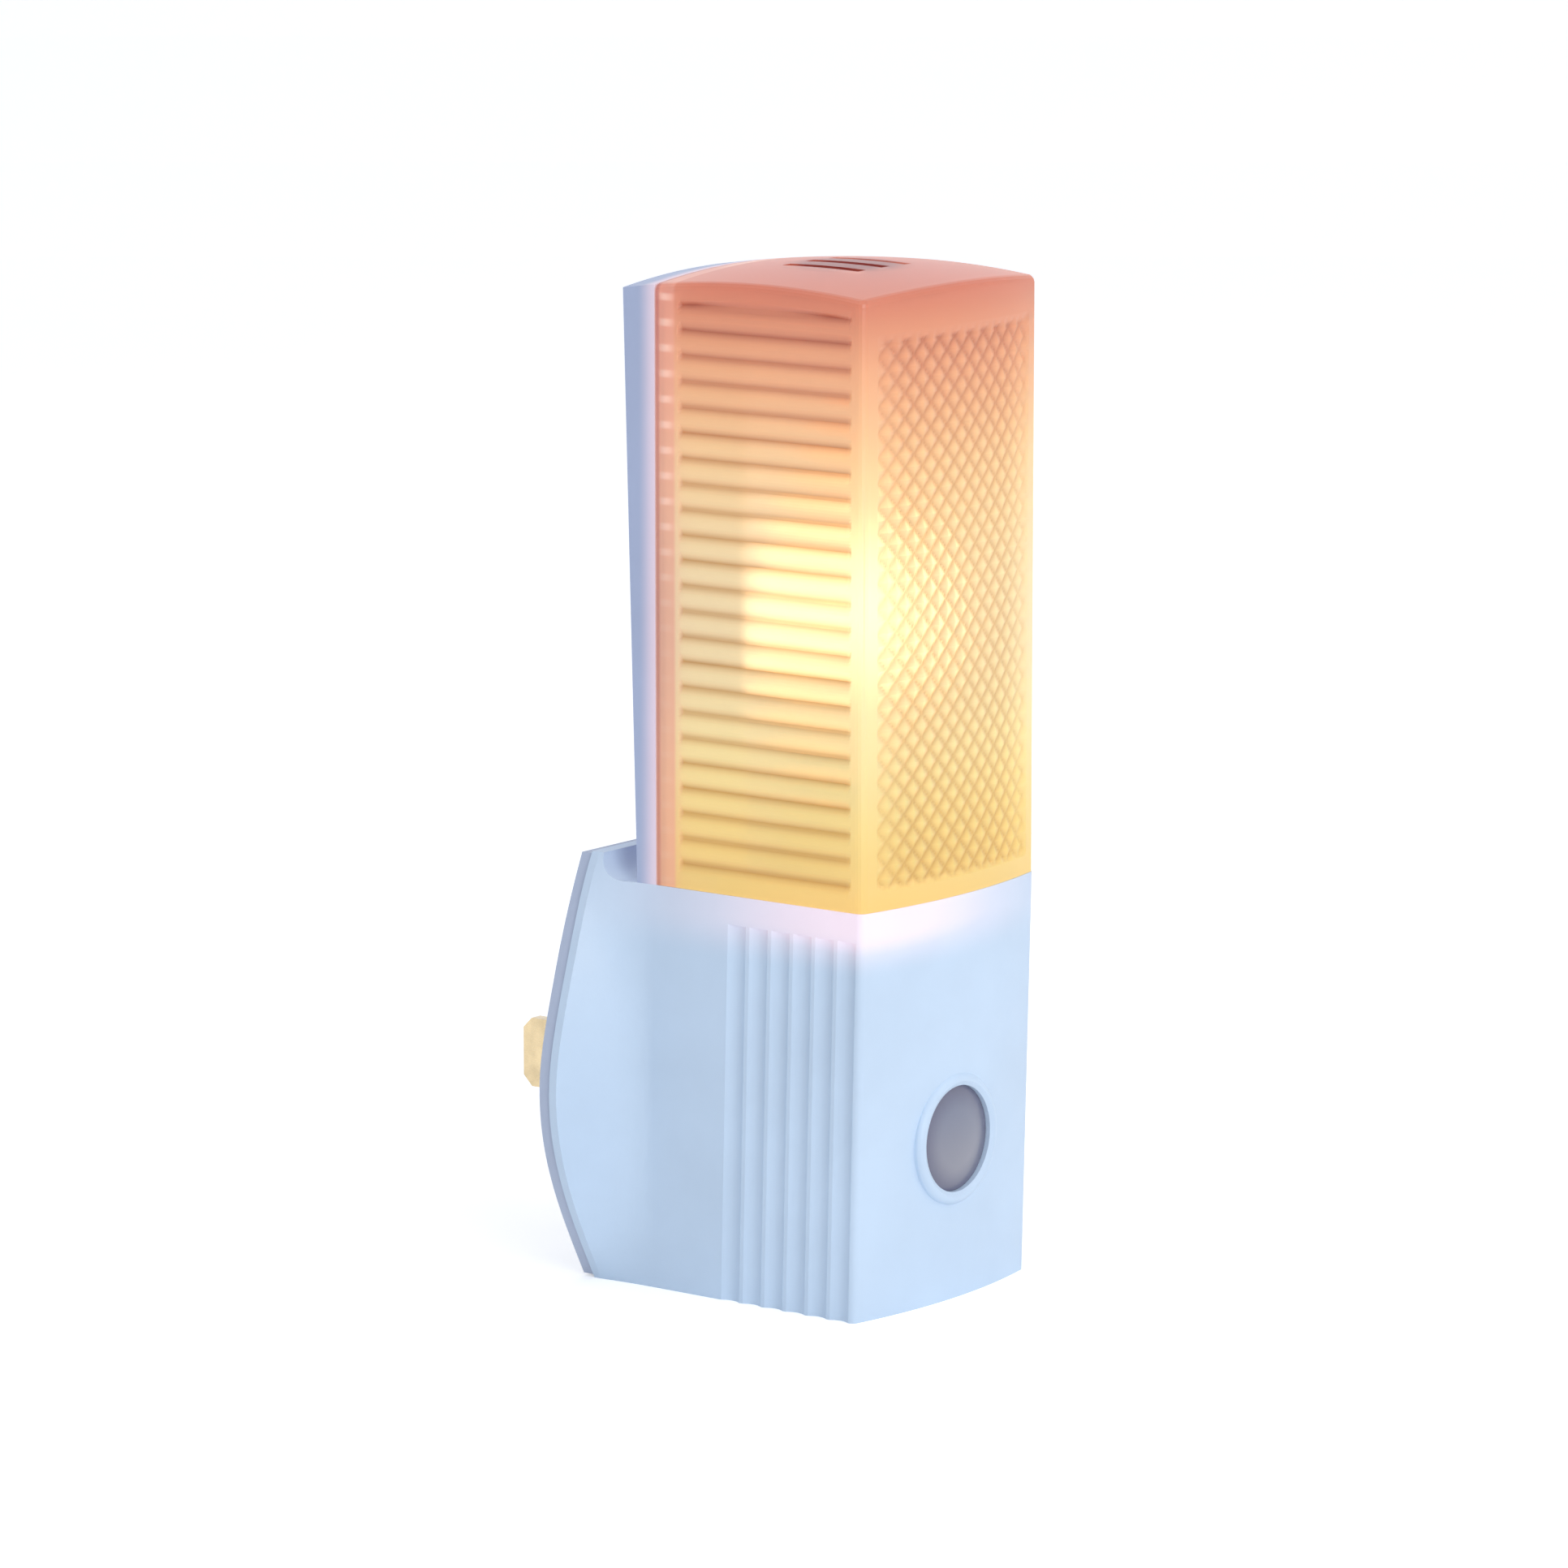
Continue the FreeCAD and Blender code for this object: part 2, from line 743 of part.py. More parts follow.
def on_board(across, upward):
    """A place on the board's back, as shares of its half width and of its height from the foot."""
    half = half_width - wall - board_gap - board_margin
    foot = floor_z + wall + board_margin
    return across * half, foot + upward * (board_height - 2 * board_margin)


def two_legged(body, spread, place, leg_length):
    """A component body with two legs that stand on the back of the board."""
    x, z = place
    legs = [
        rod(cell_lead_radius, Vector(x + side * spread, board_back_y, z), to_wall, leg_length)
        for side in (-1, 1)
    ]
    return fuse([body] + legs)


def make_axial(place, radius, length):
    """A small part lying along X on one bent lead that stands on the board at both ends."""
    x, z = place
    centre_y = board_back_y + radius + axial_lead_reach
    body = rod(radius, Vector(x - length / 2, centre_y, z), right, length)
    reach = length / 2 + axial_lead_reach
    route = [
        (x - reach, board_back_y, z),
        (x - reach, centre_y, z),
        (x + reach, centre_y, z),
        (x + reach, board_back_y, z),
    ]
    return fuse([body, wire_along(route, cell_lead_radius, axial_bend)])


def make_capacitor():
    x, z = on_board(-0.25, 0.36)
    base = Vector(x, board_back_y + capacitor_stand + capacitor_radius, z - capacitor_thickness / 2)
    body = rod(capacitor_radius, base, up, capacitor_thickness)
    return two_legged(body, capacitor_leg_spread, (x, z), capacitor_stand + capacitor_radius / 2)


def make_triac():
    x, z = on_board(0.95, 0.76)
    body = rod(triac_radius, Vector(x, board_back_y + triac_stand, z), to_wall, triac_height)
    flat = box(around(x, 4 * triac_radius), (board_back_y, 0), (z + triac_radius * 0.6, z + 2 * triac_radius))
    body = body.cut(flat)
    legs = [
        rod(cell_lead_radius, Vector(x + i * cell_lead_spread, board_back_y, z), to_wall, triac_stand)
        for i in (-1, 0, 1)
    ]
    return fuse([body] + legs)


def make_lamp_socket():
    floor_low = socket_floor_z - socket_floor
    top = deck_z + socket_rise
    axis_low = Vector(0, lamp_y, floor_low)
    body = rod(socket_radius, axis_low, up, top - floor_low)
    flange_z = deck_under_z - seat_gap - socket_flange
    disc = rod(socket_radius + socket_flange_rim, Vector(0, lamp_y, flange_z), up, socket_flange)
    bar = box(around(0, 2 * socket_screw_circle), around(0, 2 * socket_ear_radius), (0, socket_flange))
    bar.rotate(Vector(0, 0, 0), up, socket_screw_angle)
    bar.translate(Vector(0, lamp_y, flange_z))
    ears = [rod(socket_ear_radius, place, up, socket_flange) for place in socket_screw_places(flange_z)]
    body = fuse([body, disc, bar] + ears)
    tools = [rod(shell_radius + fixed_gap, Vector(0, lamp_y, socket_floor_z), up, top)]
    for name_x, width in ((shell_tab_x(), shell_tab_width), (-leaf_reach + leaf_thickness / 2, leaf_width)):
        x_range = around(name_x, shell_thickness + 4 * board_gap)
        y_range = around(lamp_y, width + 2 * board_gap)
        tools.append(box(x_range, y_range, (floor_low - beyond, socket_floor_z + beyond / 5)))
    for place in socket_screw_places(flange_z):
        tools.append(rod(screw_radius + fixed_gap, place, up, socket_flange))
    return cut(body, tools)


def shell_tab_x():
    return shell_radius - shell_thickness / 2


def shell_foot_z():
    return deck_z + socket_rise - shell_length - shell_recess


def make_socket_shell():
    """The screw shell with its solder tab, which runs down through the floor of the holder."""
    foot = shell_foot_z()
    outer = rod(shell_radius, Vector(0, lamp_y, foot), up, shell_length)
    inner_radius = shell_radius - shell_thickness
    shell = outer.cut(rod(inner_radius, Vector(0, lamp_y, foot), up, shell_length))
    tab_low = socket_floor_z - socket_floor - shell_tab_length
    tab = box(
        around(shell_tab_x(), shell_thickness),
        around(lamp_y, shell_tab_width),
        (tab_low, foot + shell_thickness),
    )
    inside = rod(shell_radius, Vector(0, lamp_y, tab_low), up, foot + beyond - tab_low)
    return fuse([shell, tab.common(inside)])


def make_socket_centre_contact():
    """A folded leaf that lies on the holder's floor and rises under the bulb's tip."""
    low = socket_floor_z
    thick = leaf_thickness
    end = leaf_reach
    crest = leaf_reach / 4
    tab = segments([
        (-end, 0, low + thick),
        (-end, 0, low - socket_floor - shell_tab_length),
        (thick - end, 0, low - socket_floor - shell_tab_length),
        (thick - end, 0, low),
        (end - thick, 0, low),
    ])
    fold = Part.Arc(
        Vector(end - thick, 0, low),
        Vector(end, 0, low + thick),
        Vector(end - thick, 0, low + 2 * thick),
    ).toShape()
    spring = segments([
        (end - thick, 0, low + 2 * thick),
        (crest, 0, leaf_top_z),
        (-crest, 0, leaf_top_z),
        (-2 * crest, 0, leaf_top_z - thick),
        (-2 * crest, 0, leaf_top_z - 2 * thick),
        (-crest, 0, leaf_top_z - thick),
        (crest - thick / 2, 0, leaf_top_z - thick),
        (end - 2 * thick, 0, low + thick),
        (-end, 0, low + thick),
    ])
    leaf = closed_face(tab + [fold] + spring).extrude(to_wall * leaf_width)
    leaf.translate(Vector(0, lamp_y - leaf_width / 2, 0))
    return leaf


def lamp_point(radius, height):
    """A point of the bulb's profile: radius from its axis and height above its foot."""
    return Vector(radius, lamp_y, bulb_foot_z + height)


def lamp_revolve(edges):
    return revolve(edges, Vector(0, lamp_y, 0), up)


def make_bulb_tip_contact():
    tip = Part.Arc(
        lamp_point(0, 0),
        lamp_point(tip_radius * 0.75, tip_height * 0.35),
        lamp_point(tip_radius, tip_height),
    ).toShape()
    rest = segments([lamp_point(tip_radius, tip_height), lamp_point(0, tip_height), lamp_point(0, 0)])
    return lamp_revolve([tip] + rest)


def make_bulb_insulator():
    top = tip_height + insulator_height
    rim = cap_root_radius - cap_thickness
    return lamp_revolve(segments([
        lamp_point(0, tip_height),
        lamp_point(tip_radius + insulator_lip, tip_height),
        lamp_point(rim, top),
        lamp_point(0, top),
        lamp_point(0, tip_height),
    ]))


def make_bulb_cap():
    """The rolled screw cap: a thin tube with round thread crests and a turned-in foot."""
    foot = tip_height + insulator_height
    top = foot + cap_length
    turns = int((cap_length - thread_pitch) / thread_pitch)
    start = foot + thread_pitch / 2
    outer = [(cap_root_radius - cap_thickness, foot), (cap_root_radius, foot)]
    inner = []
    for i in range(turns):
        low = start + i * thread_pitch
        outer.append((cap_root_radius, low))
        outer.append((cap_crest_radius, low + thread_pitch * 0.35))
        outer.append((cap_crest_radius, low + thread_pitch * 0.65))
    outer.append((cap_root_radius, start + turns * thread_pitch))
    outer.append((cap_root_radius, top))
    inner = [(radius - cap_thickness, height) for radius, height in reversed(outer[1:])]
    profile = [lamp_point(radius, height) for radius, height in outer + inner]
    profile = profile[:-1] + [profile[0]]
    return lamp_revolve(segments(profile))


def glass_foot():
    return tip_height + insulator_height + cap_length - bulb_neck_in_cap


def bulb_arcs():
    """The outline's three tangent arcs: centre, radius, and the turns where each starts and ends."""
    swell = bulb_radius - bulb_neck_radius
    rise = bulb_widest - (glass_foot() + bulb_neck_in_cap + bulb_neck_bare)
    low_radius = (swell ** 2 + rise ** 2) / (2 * swell)
    low_x = bulb_radius - low_radius
    crown_z = bulb_length - bulb_crown_radius
    lean = bulb_radius - bulb_crown_radius
    taper_radius = bulb_crown_radius + (lean ** 2 + (crown_z - bulb_widest) ** 2) / (2 * lean)
    taper_x = bulb_radius - taper_radius
    crown_turn = math.atan2(crown_z - bulb_widest, -taper_x)
    return [
        (low_x, bulb_widest, low_radius, None, 0),
        (taper_x, bulb_widest, taper_radius, 0, crown_turn),
        (0, crown_z, bulb_crown_radius, crown_turn, math.pi / 2),
    ]


def bulb_profile(inset):
    """The candle-shaped outline, set in by the glass: a straight neck and the three arcs."""
    edges = []
    for centre_x, centre_z, radius, first, last in bulb_arcs():
        reach = radius - inset
        if first is None:
            first = -math.acos((bulb_neck_radius - inset - centre_x) / reach)
            neck_end = lamp_point(bulb_neck_radius - inset, centre_z + reach * math.sin(first))
            edges.append(Part.makeLine(lamp_point(bulb_neck_radius - inset, glass_foot()), neck_end))
        turns = (first, (first + last) / 2, last)
        points = [lamp_point(centre_x + reach * math.cos(t), centre_z + reach * math.sin(t)) for t in turns]
        edges.append(Part.Arc(*points).toShape())
    return edges


def make_bulb_glass():
    foot = glass_foot()
    thick = bulb_glass_wall
    closing = segments([lamp_point(bulb_neck_radius, foot), lamp_point(bulb_neck_radius - thick, foot)])
    closing += segments([lamp_point(0, bulb_length - thick), lamp_point(0, bulb_length)])
    return lamp_revolve(bulb_profile(0) + bulb_profile(thick) + closing)


def stem_foot():
    return glass_foot() + bulb_glass_wall


def make_bulb_stem():
    """The glass foot inside the neck: a skirt sealed to the bulb and a stem drawn up from it."""
    foot = stem_foot()
    skirt_radius = bulb_neck_radius - bulb_glass_wall - fixed_gap
    skirt_top = foot + stem_skirt
    neck_top = foot + stem_neck
    waist = Part.Arc(
        lamp_point(skirt_radius, skirt_top),
        lamp_point((skirt_radius + 2 * stem_radius) / 3, (2 * skirt_top + neck_top) / 3),
        lamp_point(stem_radius, neck_top),
    ).toShape()
    rest = segments([
        lamp_point(stem_radius, neck_top),
        lamp_point(stem_radius, foot + stem_height),
        lamp_point(0, foot + stem_height),
        lamp_point(0, foot),
        lamp_point(skirt_radius, foot),
        lamp_point(skirt_radius, skirt_top),
    ])
    return lamp_revolve([waist] + rest)


def make_bulb_lead_wires():
    foot_z = bulb_foot_z + stem_foot() + stem_height
    end_z = bulb_foot_z + filament_height
    leads = []
    for side in (-1, 1):
        near = side * stem_radius / 2
        route = [
            (near, lamp_y, foot_z),
            (near, lamp_y, foot_z + lead_stub),
            (side * lead_spread, lamp_y, end_z - lead_stub),
            (side * lead_spread, lamp_y, end_z),
        ]
        leads.append(wire_along(route, lead_radius, lead_bend))
    return Part.makeCompound(leads)


def make_bulb_filament():
    z = bulb_foot_z + filament_height + filament_radius
    arc = Part.Arc(
        Vector(-lead_spread, lamp_y, z),
        Vector(0, lamp_y - filament_sag, z + filament_sag / 2),
        Vector(lead_spread, lamp_y, z),
    )
    path = Part.Wire(arc.toShape())
    start = path.Edges[0]
    heading = start.tangentAt(start.FirstParameter)
    ring = Part.Wire(Part.makeCircle(filament_radius, Vector(-lead_spread, lamp_y, z), heading))
    return path.makePipeShell([ring], True, True)


def inner_wires():
    """Each wire by name, from where it is soldered to where it ends."""
    live_x = blade_spacing / 2
    neutral_x = -blade_spacing / 2
    holder_low = socket_floor_z - socket_floor
    tab_low = holder_low - shell_tab_length
    contact_x = -leaf_reach + leaf_thickness / 2
    rear = tail_end_y
    board = board_back_y
    live_end, live_z = on_board(0.9, 0.36)
    neutral_end, neutral_z = on_board(-0.9, 0.19)
    lamp_start, lamp_z = on_board(-0.28, 0.81)
    return {
        "live_wire": [
            (live_x, rear, 0),
            (live_x, rear - wire_room, 0),
            (live_end, board + wire_room, live_z),
            (live_end, board, live_z),
        ],
        "neutral_wire": [
            (neutral_x, rear, -wire_radius - board_gap),
            (neutral_x, rear - wire_room, -wire_radius - board_gap),
            (neutral_end, board + wire_room, neutral_z),
            (neutral_end, board, neutral_z),
        ],
        "shell_wire": [
            (neutral_x, rear, wire_radius + board_gap),
            (neutral_x, rear - wire_room, wire_radius + board_gap),
            (shell_tab_x(), lamp_y, tab_low - shell_wire_dip),
            (shell_tab_x(), lamp_y, tab_low),
        ],
        "lamp_wire": [
            (lamp_start, board, lamp_z),
            (lamp_start, board + wire_stub, lamp_z),
            (contact_x, lamp_y, (lamp_z + tab_low) / 2),
            (contact_x, lamp_y, tab_low),
        ],
    }


def main():
    os.makedirs("parts", exist_ok=True)
    save("front_housing", make_front_housing())
    save("rear_cover", make_rear_cover())
    save("cover_screws", make_cover_screws())
    for name, (side, width) in zip(("blade_wide", "blade_narrow"), blade_sides()):
        save(name, make_blade(side, width))
    save("blade_clamp", make_blade_clamp())
    save("clamp_screw", make_clamp_screw())
    save("lens", make_lens())
    save("reflector_back", make_reflector_back())
    save("sensor_window", make_sensor_window())
    save("photocell", make_photocell())
    save("photocell_leads", make_photocell_leads())
    save("circuit_board", make_circuit_board())
    save("triac", make_triac())
    save("capacitor", make_capacitor())
    save("gate_resistor", make_axial(on_board(0.55, 0.58), resistor_radius, resistor_length))
    save("divider_resistor", make_axial(on_board(0.0, 0.03), resistor_radius, resistor_length))
    save("diac", make_axial(on_board(-0.62, 0.98), diac_radius, diac_length))
    save("lamp_socket", make_lamp_socket())
    save("socket_shell", make_socket_shell())
    save("socket_centre_contact", make_socket_centre_contact())
    save("socket_screws", make_socket_screws())
    save("bulb_tip_contact", make_bulb_tip_contact())
    save("bulb_insulator", make_bulb_insulator())
    save("bulb_cap", make_bulb_cap())
    save("bulb_glass", make_bulb_glass())
    save("bulb_stem", make_bulb_stem())
    save("bulb_lead_wires", make_bulb_lead_wires())
    save("bulb_filament", make_bulb_filament())
    for name, route in inner_wires().items():
        save(name, wire_along(route, wire_radius, wire_bend))


main()
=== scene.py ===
import math

import bpy
import numpy as np
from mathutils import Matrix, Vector


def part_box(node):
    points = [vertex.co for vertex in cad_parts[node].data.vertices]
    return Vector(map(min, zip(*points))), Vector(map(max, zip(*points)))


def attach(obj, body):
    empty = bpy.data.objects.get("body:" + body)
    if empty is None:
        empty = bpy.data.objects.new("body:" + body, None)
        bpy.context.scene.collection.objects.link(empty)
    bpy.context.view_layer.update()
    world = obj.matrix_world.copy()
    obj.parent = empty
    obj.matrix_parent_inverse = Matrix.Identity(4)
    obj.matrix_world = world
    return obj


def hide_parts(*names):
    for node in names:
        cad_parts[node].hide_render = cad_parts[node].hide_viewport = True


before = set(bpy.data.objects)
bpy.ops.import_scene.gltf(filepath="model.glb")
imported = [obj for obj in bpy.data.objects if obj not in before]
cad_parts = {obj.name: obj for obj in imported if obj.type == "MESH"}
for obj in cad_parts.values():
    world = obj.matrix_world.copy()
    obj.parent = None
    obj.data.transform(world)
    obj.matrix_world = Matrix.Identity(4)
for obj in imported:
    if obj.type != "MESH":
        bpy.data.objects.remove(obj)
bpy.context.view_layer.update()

MM = 0.001

# Places taken from the frame
lens_low, lens_high = [np.array(corner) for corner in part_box("lens")]
housing_low, housing_high = [np.array(corner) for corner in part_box("front_housing")]
glass_low, glass_high = [np.array(corner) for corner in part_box("bulb_glass")]
filament_low, filament_high = [np.array(corner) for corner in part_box("bulb_filament")]
lamp_x = (glass_low[0] + glass_high[0]) / 2
lamp_y = (glass_low[1] + glass_high[1]) / 2
glow_z = (filament_low[2] + filament_high[2]) / 2
deck_z = float(lens_low[2])

# The lens's own sizes, as in the solid that it stands for
LENS_WALL = 1.6 * MM
LENS_CROWN = 1.9 * MM
LENS_CORNER = 1.2 * MM
LEAST_CORNER = 0.25 * MM
LENS_BOW = 1.8 * MM
EDGE_ROUND = 0.7 * MM
RIB_PITCH = 2.8 * MM
RIB_DEPTH = 0.5 * MM
PRISM_PITCH = 2.7 * MM
PRISM_DEPTH = 0.4 * MM
PRISM_SHADE_REACH = 8.0 * MM
RIB_FRONT_MARGIN = 1.6 * MM
RIB_REAR_MARGIN = 2.9 * MM
RIB_END_FADE = 0.4 * MM
RIB_FOOT_MARGIN = 1.2 * MM
RIB_FOOT_FADE = 0.3 * MM
RIB_TOP_MARGIN = 1.4 * MM
RIB_TOP_FADE = 0.6 * MM
PRISM_SIDE_MARGIN = 2.1 * MM
PRISM_SIDE_FADE = 0.5 * MM
PRISM_FOOT_MARGIN = 2.0 * MM
PRISM_TOP_MARGIN = 4.0 * MM
PRISM_END_FADE = 0.6 * MM
PRISM_SHADE_AT_CORNER = 0.35
PRISM_SHADE_INWARD = 0.45
SIDE_NORMAL = 0.99
FRONT_NORMAL = 0.4
VENT_WIDTH = 1.5 * MM
VENT_PITCH = 4.2 * MM
VENT_LENGTH = 10.0 * MM
VENT_COUNT = 3

# Camera, worked out from the corners of the object in the photograph
FRAME_PIXELS = 1932
CAMERA_AZIMUTH = math.radians(-52.76)
CAMERA_ELEVATION = math.radians(10.23)
CAMERA_DISTANCE = 845.2 * MM
FOCAL_PIXELS = 9408.6
SENSOR_WIDTH = 36.0
AIM_POINT = Vector((0, -20 * MM, 34 * MM))
AIM_PIXEL = (1003.8, 962.3)


def camera_axes():
    back = Vector((
        math.sin(CAMERA_AZIMUTH) * math.cos(CAMERA_ELEVATION),
        -math.cos(CAMERA_AZIMUTH) * math.cos(CAMERA_ELEVATION),
        math.sin(CAMERA_ELEVATION),
    ))
    side = Vector((math.cos(CAMERA_AZIMUTH), math.sin(CAMERA_AZIMUTH), 0))
    return back, side, back.cross(side)


def make_camera():
    back, side, up = camera_axes()
    middle = FRAME_PIXELS / 2
    metres_per_pixel = CAMERA_DISTANCE / FOCAL_PIXELS
    aim = AIM_POINT - side * (AIM_PIXEL[0] - middle) * metres_per_pixel
    aim = aim + up * (AIM_PIXEL[1] - middle) * metres_per_pixel
    data = bpy.data.cameras.new("view_camera")
    data.sensor_width = SENSOR_WIDTH
    data.lens = FOCAL_PIXELS * SENSOR_WIDTH / FRAME_PIXELS
    data.clip_start = 0.01
    camera = bpy.data.objects.new("view_camera", data)
    bpy.context.scene.collection.objects.link(camera)
    camera.location = aim + back * CAMERA_DISTANCE
    camera.rotation_euler = back.to_track_quat("Z", "Y").to_euler()
    bpy.context.scene.camera = camera


# Light: soft lamps, a faintly blue surround, and paper that is only lifted to white where it is seen
LAMP_TARGET = (0, -0.02, 0.03)
LAMPS = [
    ("key_light", (0.35, -0.9, 0.75), 0.6, 2.0),
    ("fill_light", (-0.5, -0.92, 0.32), 0.5, 3.4),
    ("top_light", (0.0, 0.1, 1.1), 0.8, 2.0),
]
SKY_TINT = (0.85, 0.90, 1.0)
SKY_LEVEL = 0.55
PAPER_LIFT = 0.42
PAPER_REACH = 3.0
PAPER_BEND = 0.6
PAPER_BEND_START = 0.9
PAPER_BEND_STEPS = 12


class Nodes:
    """A short way to build one material's node tree."""

    def __init__(self, name):
        self.material = bpy.data.materials.new(name)
        self.material.use_nodes = True
        self.tree = self.material.node_tree
        self.shader = self.tree.nodes["Principled BSDF"]
        self.place = self.add("ShaderNodeTexCoord").outputs["Object"]

    def add(self, kind, **settings):
        node = self.tree.nodes.new(kind)
        for key, value in settings.items():
            setattr(node, key, value)
        return node

    def link(self, source, target):
        self.tree.links.new(source, target)

    def set(self, **values):
        names = {key.replace("_", " ").lower(): value for key, value in values.items()}
        for socket in self.shader.inputs:
            value = names.pop(socket.name.lower(), None)
            if value is not None:
                socket.default_value = value
        assert not names, names

    def noise(self, scale, detail=3.0, roughness=0.5, stretch=(1, 1, 1)):
        mapping = self.add("ShaderNodeMapping")
        mapping.inputs["Scale"].default_value = stretch
        self.link(self.place, mapping.inputs["Vector"])
        noise = self.add("ShaderNodeTexNoise")
        noise.inputs["Scale"].default_value = scale
        noise.inputs["Detail"].default_value = detail
        noise.inputs["Roughness"].default_value = roughness
        self.link(mapping.outputs["Vector"], noise.inputs["Vector"])
        return noise.outputs["Fac"]

    def ramp(self, factor, stops):
        ramp = self.add("ShaderNodeValToRGB")
        elements = ramp.color_ramp.elements
        while len(elements) < len(stops):
            elements.new(0.5)
        for element, (position, colour) in zip(elements, stops):
            element.position = position
            element.color = (*colour, 1.0)
        self.link(factor, ramp.inputs["Fac"])
        return ramp.outputs["Color"]

    def stretch(self, value, low, high, to_low=0.0, to_high=1.0, smooth=False):
        node = self.add("ShaderNodeMapRange")
        if smooth:
            node.interpolation_type = "SMOOTHSTEP"
        for key, number in (("From Min", low), ("From Max", high), ("To Min", to_low), ("To Max", to_high)):
            node.inputs[key].default_value = number
        self.link(value, node.inputs["Value"])
        return node.outputs["Result"]

    def maths(self, operation, *values):
        node = self.add("ShaderNodeMath", operation=operation)
        for socket, value in zip(node.inputs, values):
            if isinstance(value, (int, float)):
                socket.default_value = value
            else:
                self.link(value, socket)
        return node.outputs["Value"]

    def mix(self, factor, first, second):
        node = self.add("ShaderNodeMix", data_type="RGBA")
        inputs = {"Factor": factor, "A": first, "B": second}
        sockets = {"Factor": node.inputs[0], "A": node.inputs[6], "B": node.inputs[7]}
        for key, value in inputs.items():
            if isinstance(value, (int, float)):
                sockets[key].default_value = value
            elif isinstance(value, tuple):
                sockets[key].default_value = (*value, 1.0)
            else:
                self.link(value, sockets[key])
        return node.outputs[2]

    def axis(self, index):
        split = self.add("ShaderNodeSeparateXYZ")
        self.link(self.place, split.inputs["Vector"])
        return split.outputs[index]

    def distance(self, point):
        node = self.add("ShaderNodeVectorMath", operation="DISTANCE")
        node.inputs[1].default_value = point
        self.link(self.place, node.inputs[0])
        return node.outputs["Value"]

    def bump(self, height, strength, depth):
        node = self.add("ShaderNodeBump")
        node.inputs["Strength"].default_value = strength
        node.inputs["Distance"].default_value = depth
        self.link(height, node.inputs["Height"])
        self.link(node.outputs["Normal"], self.shader.inputs["Normal"])


CLOUD_SCALE = 90.0
GLOSS_SCALE = 400.0
GLOSS_SPREAD = 0.05
GRAIN_DEPTH = 0.03 * MM
STREAK_SCALE = 700.0
TARNISH_SCALE = 260.0
TARNISH_SHADE = 0.72
STREAK_DEPTH = 0.02 * MM
PLASTIC_IOR = 1.48
GLASS_IOR = 1.5


def moulded_plastic(name, colour, roughness=0.42, grain=2600.0, variation=0.03, bump=0.25):
    """Satin moulded plastic: faint cloudy shade, a fine spark-eroded grain and soft gloss changes."""
    n = Nodes(name)
    cloud = n.noise(CLOUD_SCALE, 4.0)
    low = tuple(channel * (1 - variation) for channel in colour)
    high = tuple(min(1.0, channel * (1 + variation)) for channel in colour)
    n.link(n.ramp(cloud, [(0.3, low), (0.7, high)]), n.shader.inputs["Base Color"])
    gloss = n.noise(GLOSS_SCALE, 2.0)
    level = n.stretch(gloss, 0.3, 0.7, roughness - GLOSS_SPREAD, roughness + GLOSS_SPREAD)
    n.link(level, n.shader.inputs["Roughness"])
    n.bump(n.noise(grain, 2.0), bump, GRAIN_DEPTH)
    n.set(ior=PLASTIC_IOR)
    return n


def metal(name, colour, roughness=0.28, brushed=(1, 1, 30)):
    """Plated or rolled metal with drawn streaks and slight tarnish."""
    n = Nodes(name)
    streak = n.noise(STREAK_SCALE, 3.0, 0.6, brushed)
    dark = tuple(channel * TARNISH_SHADE for channel in colour)
    cloud = n.noise(TARNISH_SCALE, 4.0)
    n.link(n.ramp(cloud, [(0.32, dark), (0.62, colour)]), n.shader.inputs["Base Color"])
    n.link(n.stretch(streak, 0.3, 0.7, roughness - 0.08, roughness + 0.10), n.shader.inputs["Roughness"])
    n.bump(streak, 0.2, STREAK_DEPTH)
    n.set(metallic=1.0)
    return n


# Housing colours: the photograph shows an icy blue-white
HOUSING_COLOUR = (0.62, 0.76, 0.92)
UPRIGHT_COLOUR = (0.46, 0.53, 0.73)
COVER_COLOUR = (0.50, 0.57, 0.72)
# Painted warm glow on the upright where it meets the lens
UPRIGHT_PAINTED_GLOW = (0.38, 0.21, 0.15)
UPRIGHT_PAINTED_GLOW_REACH = 2.6 * MM
# Painted warm glow on the housing's shoulder just under the lens
SPILL_DEPTH = 7.5 * MM
SPILL_FULL = 2.0 * MM
SPILL_REACH = 42.0 * MM
SPILL_STOPS = [(0.0, (0.0, 0.0, 0.0)), (0.5, (0.16, 0.07, 0.05)), (1.0, (0.46, 0.20, 0.16))]


def housing_material():
    """The housing, with the warm light that leaks into its shoulder under the lens painted on as a glow."""
    n = moulded_plastic("housing_plastic", HOUSING_COLOUR)
    # The painted glow is strongest just under the deck, near the lens's front corner
    near_top = n.stretch(n.axis(2), deck_z - SPILL_DEPTH, deck_z - 0.3 * SPILL_DEPTH, smooth=True)
    corner = (float(lens_low[0]), float(lens_low[1]), deck_z)
    around_corner = n.stretch(n.distance(corner), SPILL_FULL, SPILL_REACH, 1.0, 0.0, smooth=True)
    strength = n.maths("MULTIPLY", near_top, around_corner)
    n.link(n.ramp(strength, SPILL_STOPS), n.shader.inputs["Emission Color"])
    n.set(emission_strength=1.0)
    return n.material


def upright_material():
    """The upright, with a painted warm glow where it meets the lit lens."""
    n = moulded_plastic("upright_plastic", UPRIGHT_COLOUR)
    back = float(lens_high[1])
    near_lens = n.stretch(n.axis(1), back, back + UPRIGHT_PAINTED_GLOW_REACH, 1.0, 0.0, smooth=True)
    n.link(n.mix(near_lens, (0.0, 0.0, 0.0), UPRIGHT_PAINTED_GLOW), n.shader.inputs["Emission Color"])
    n.set(emission_strength=1.0)
    return n.material


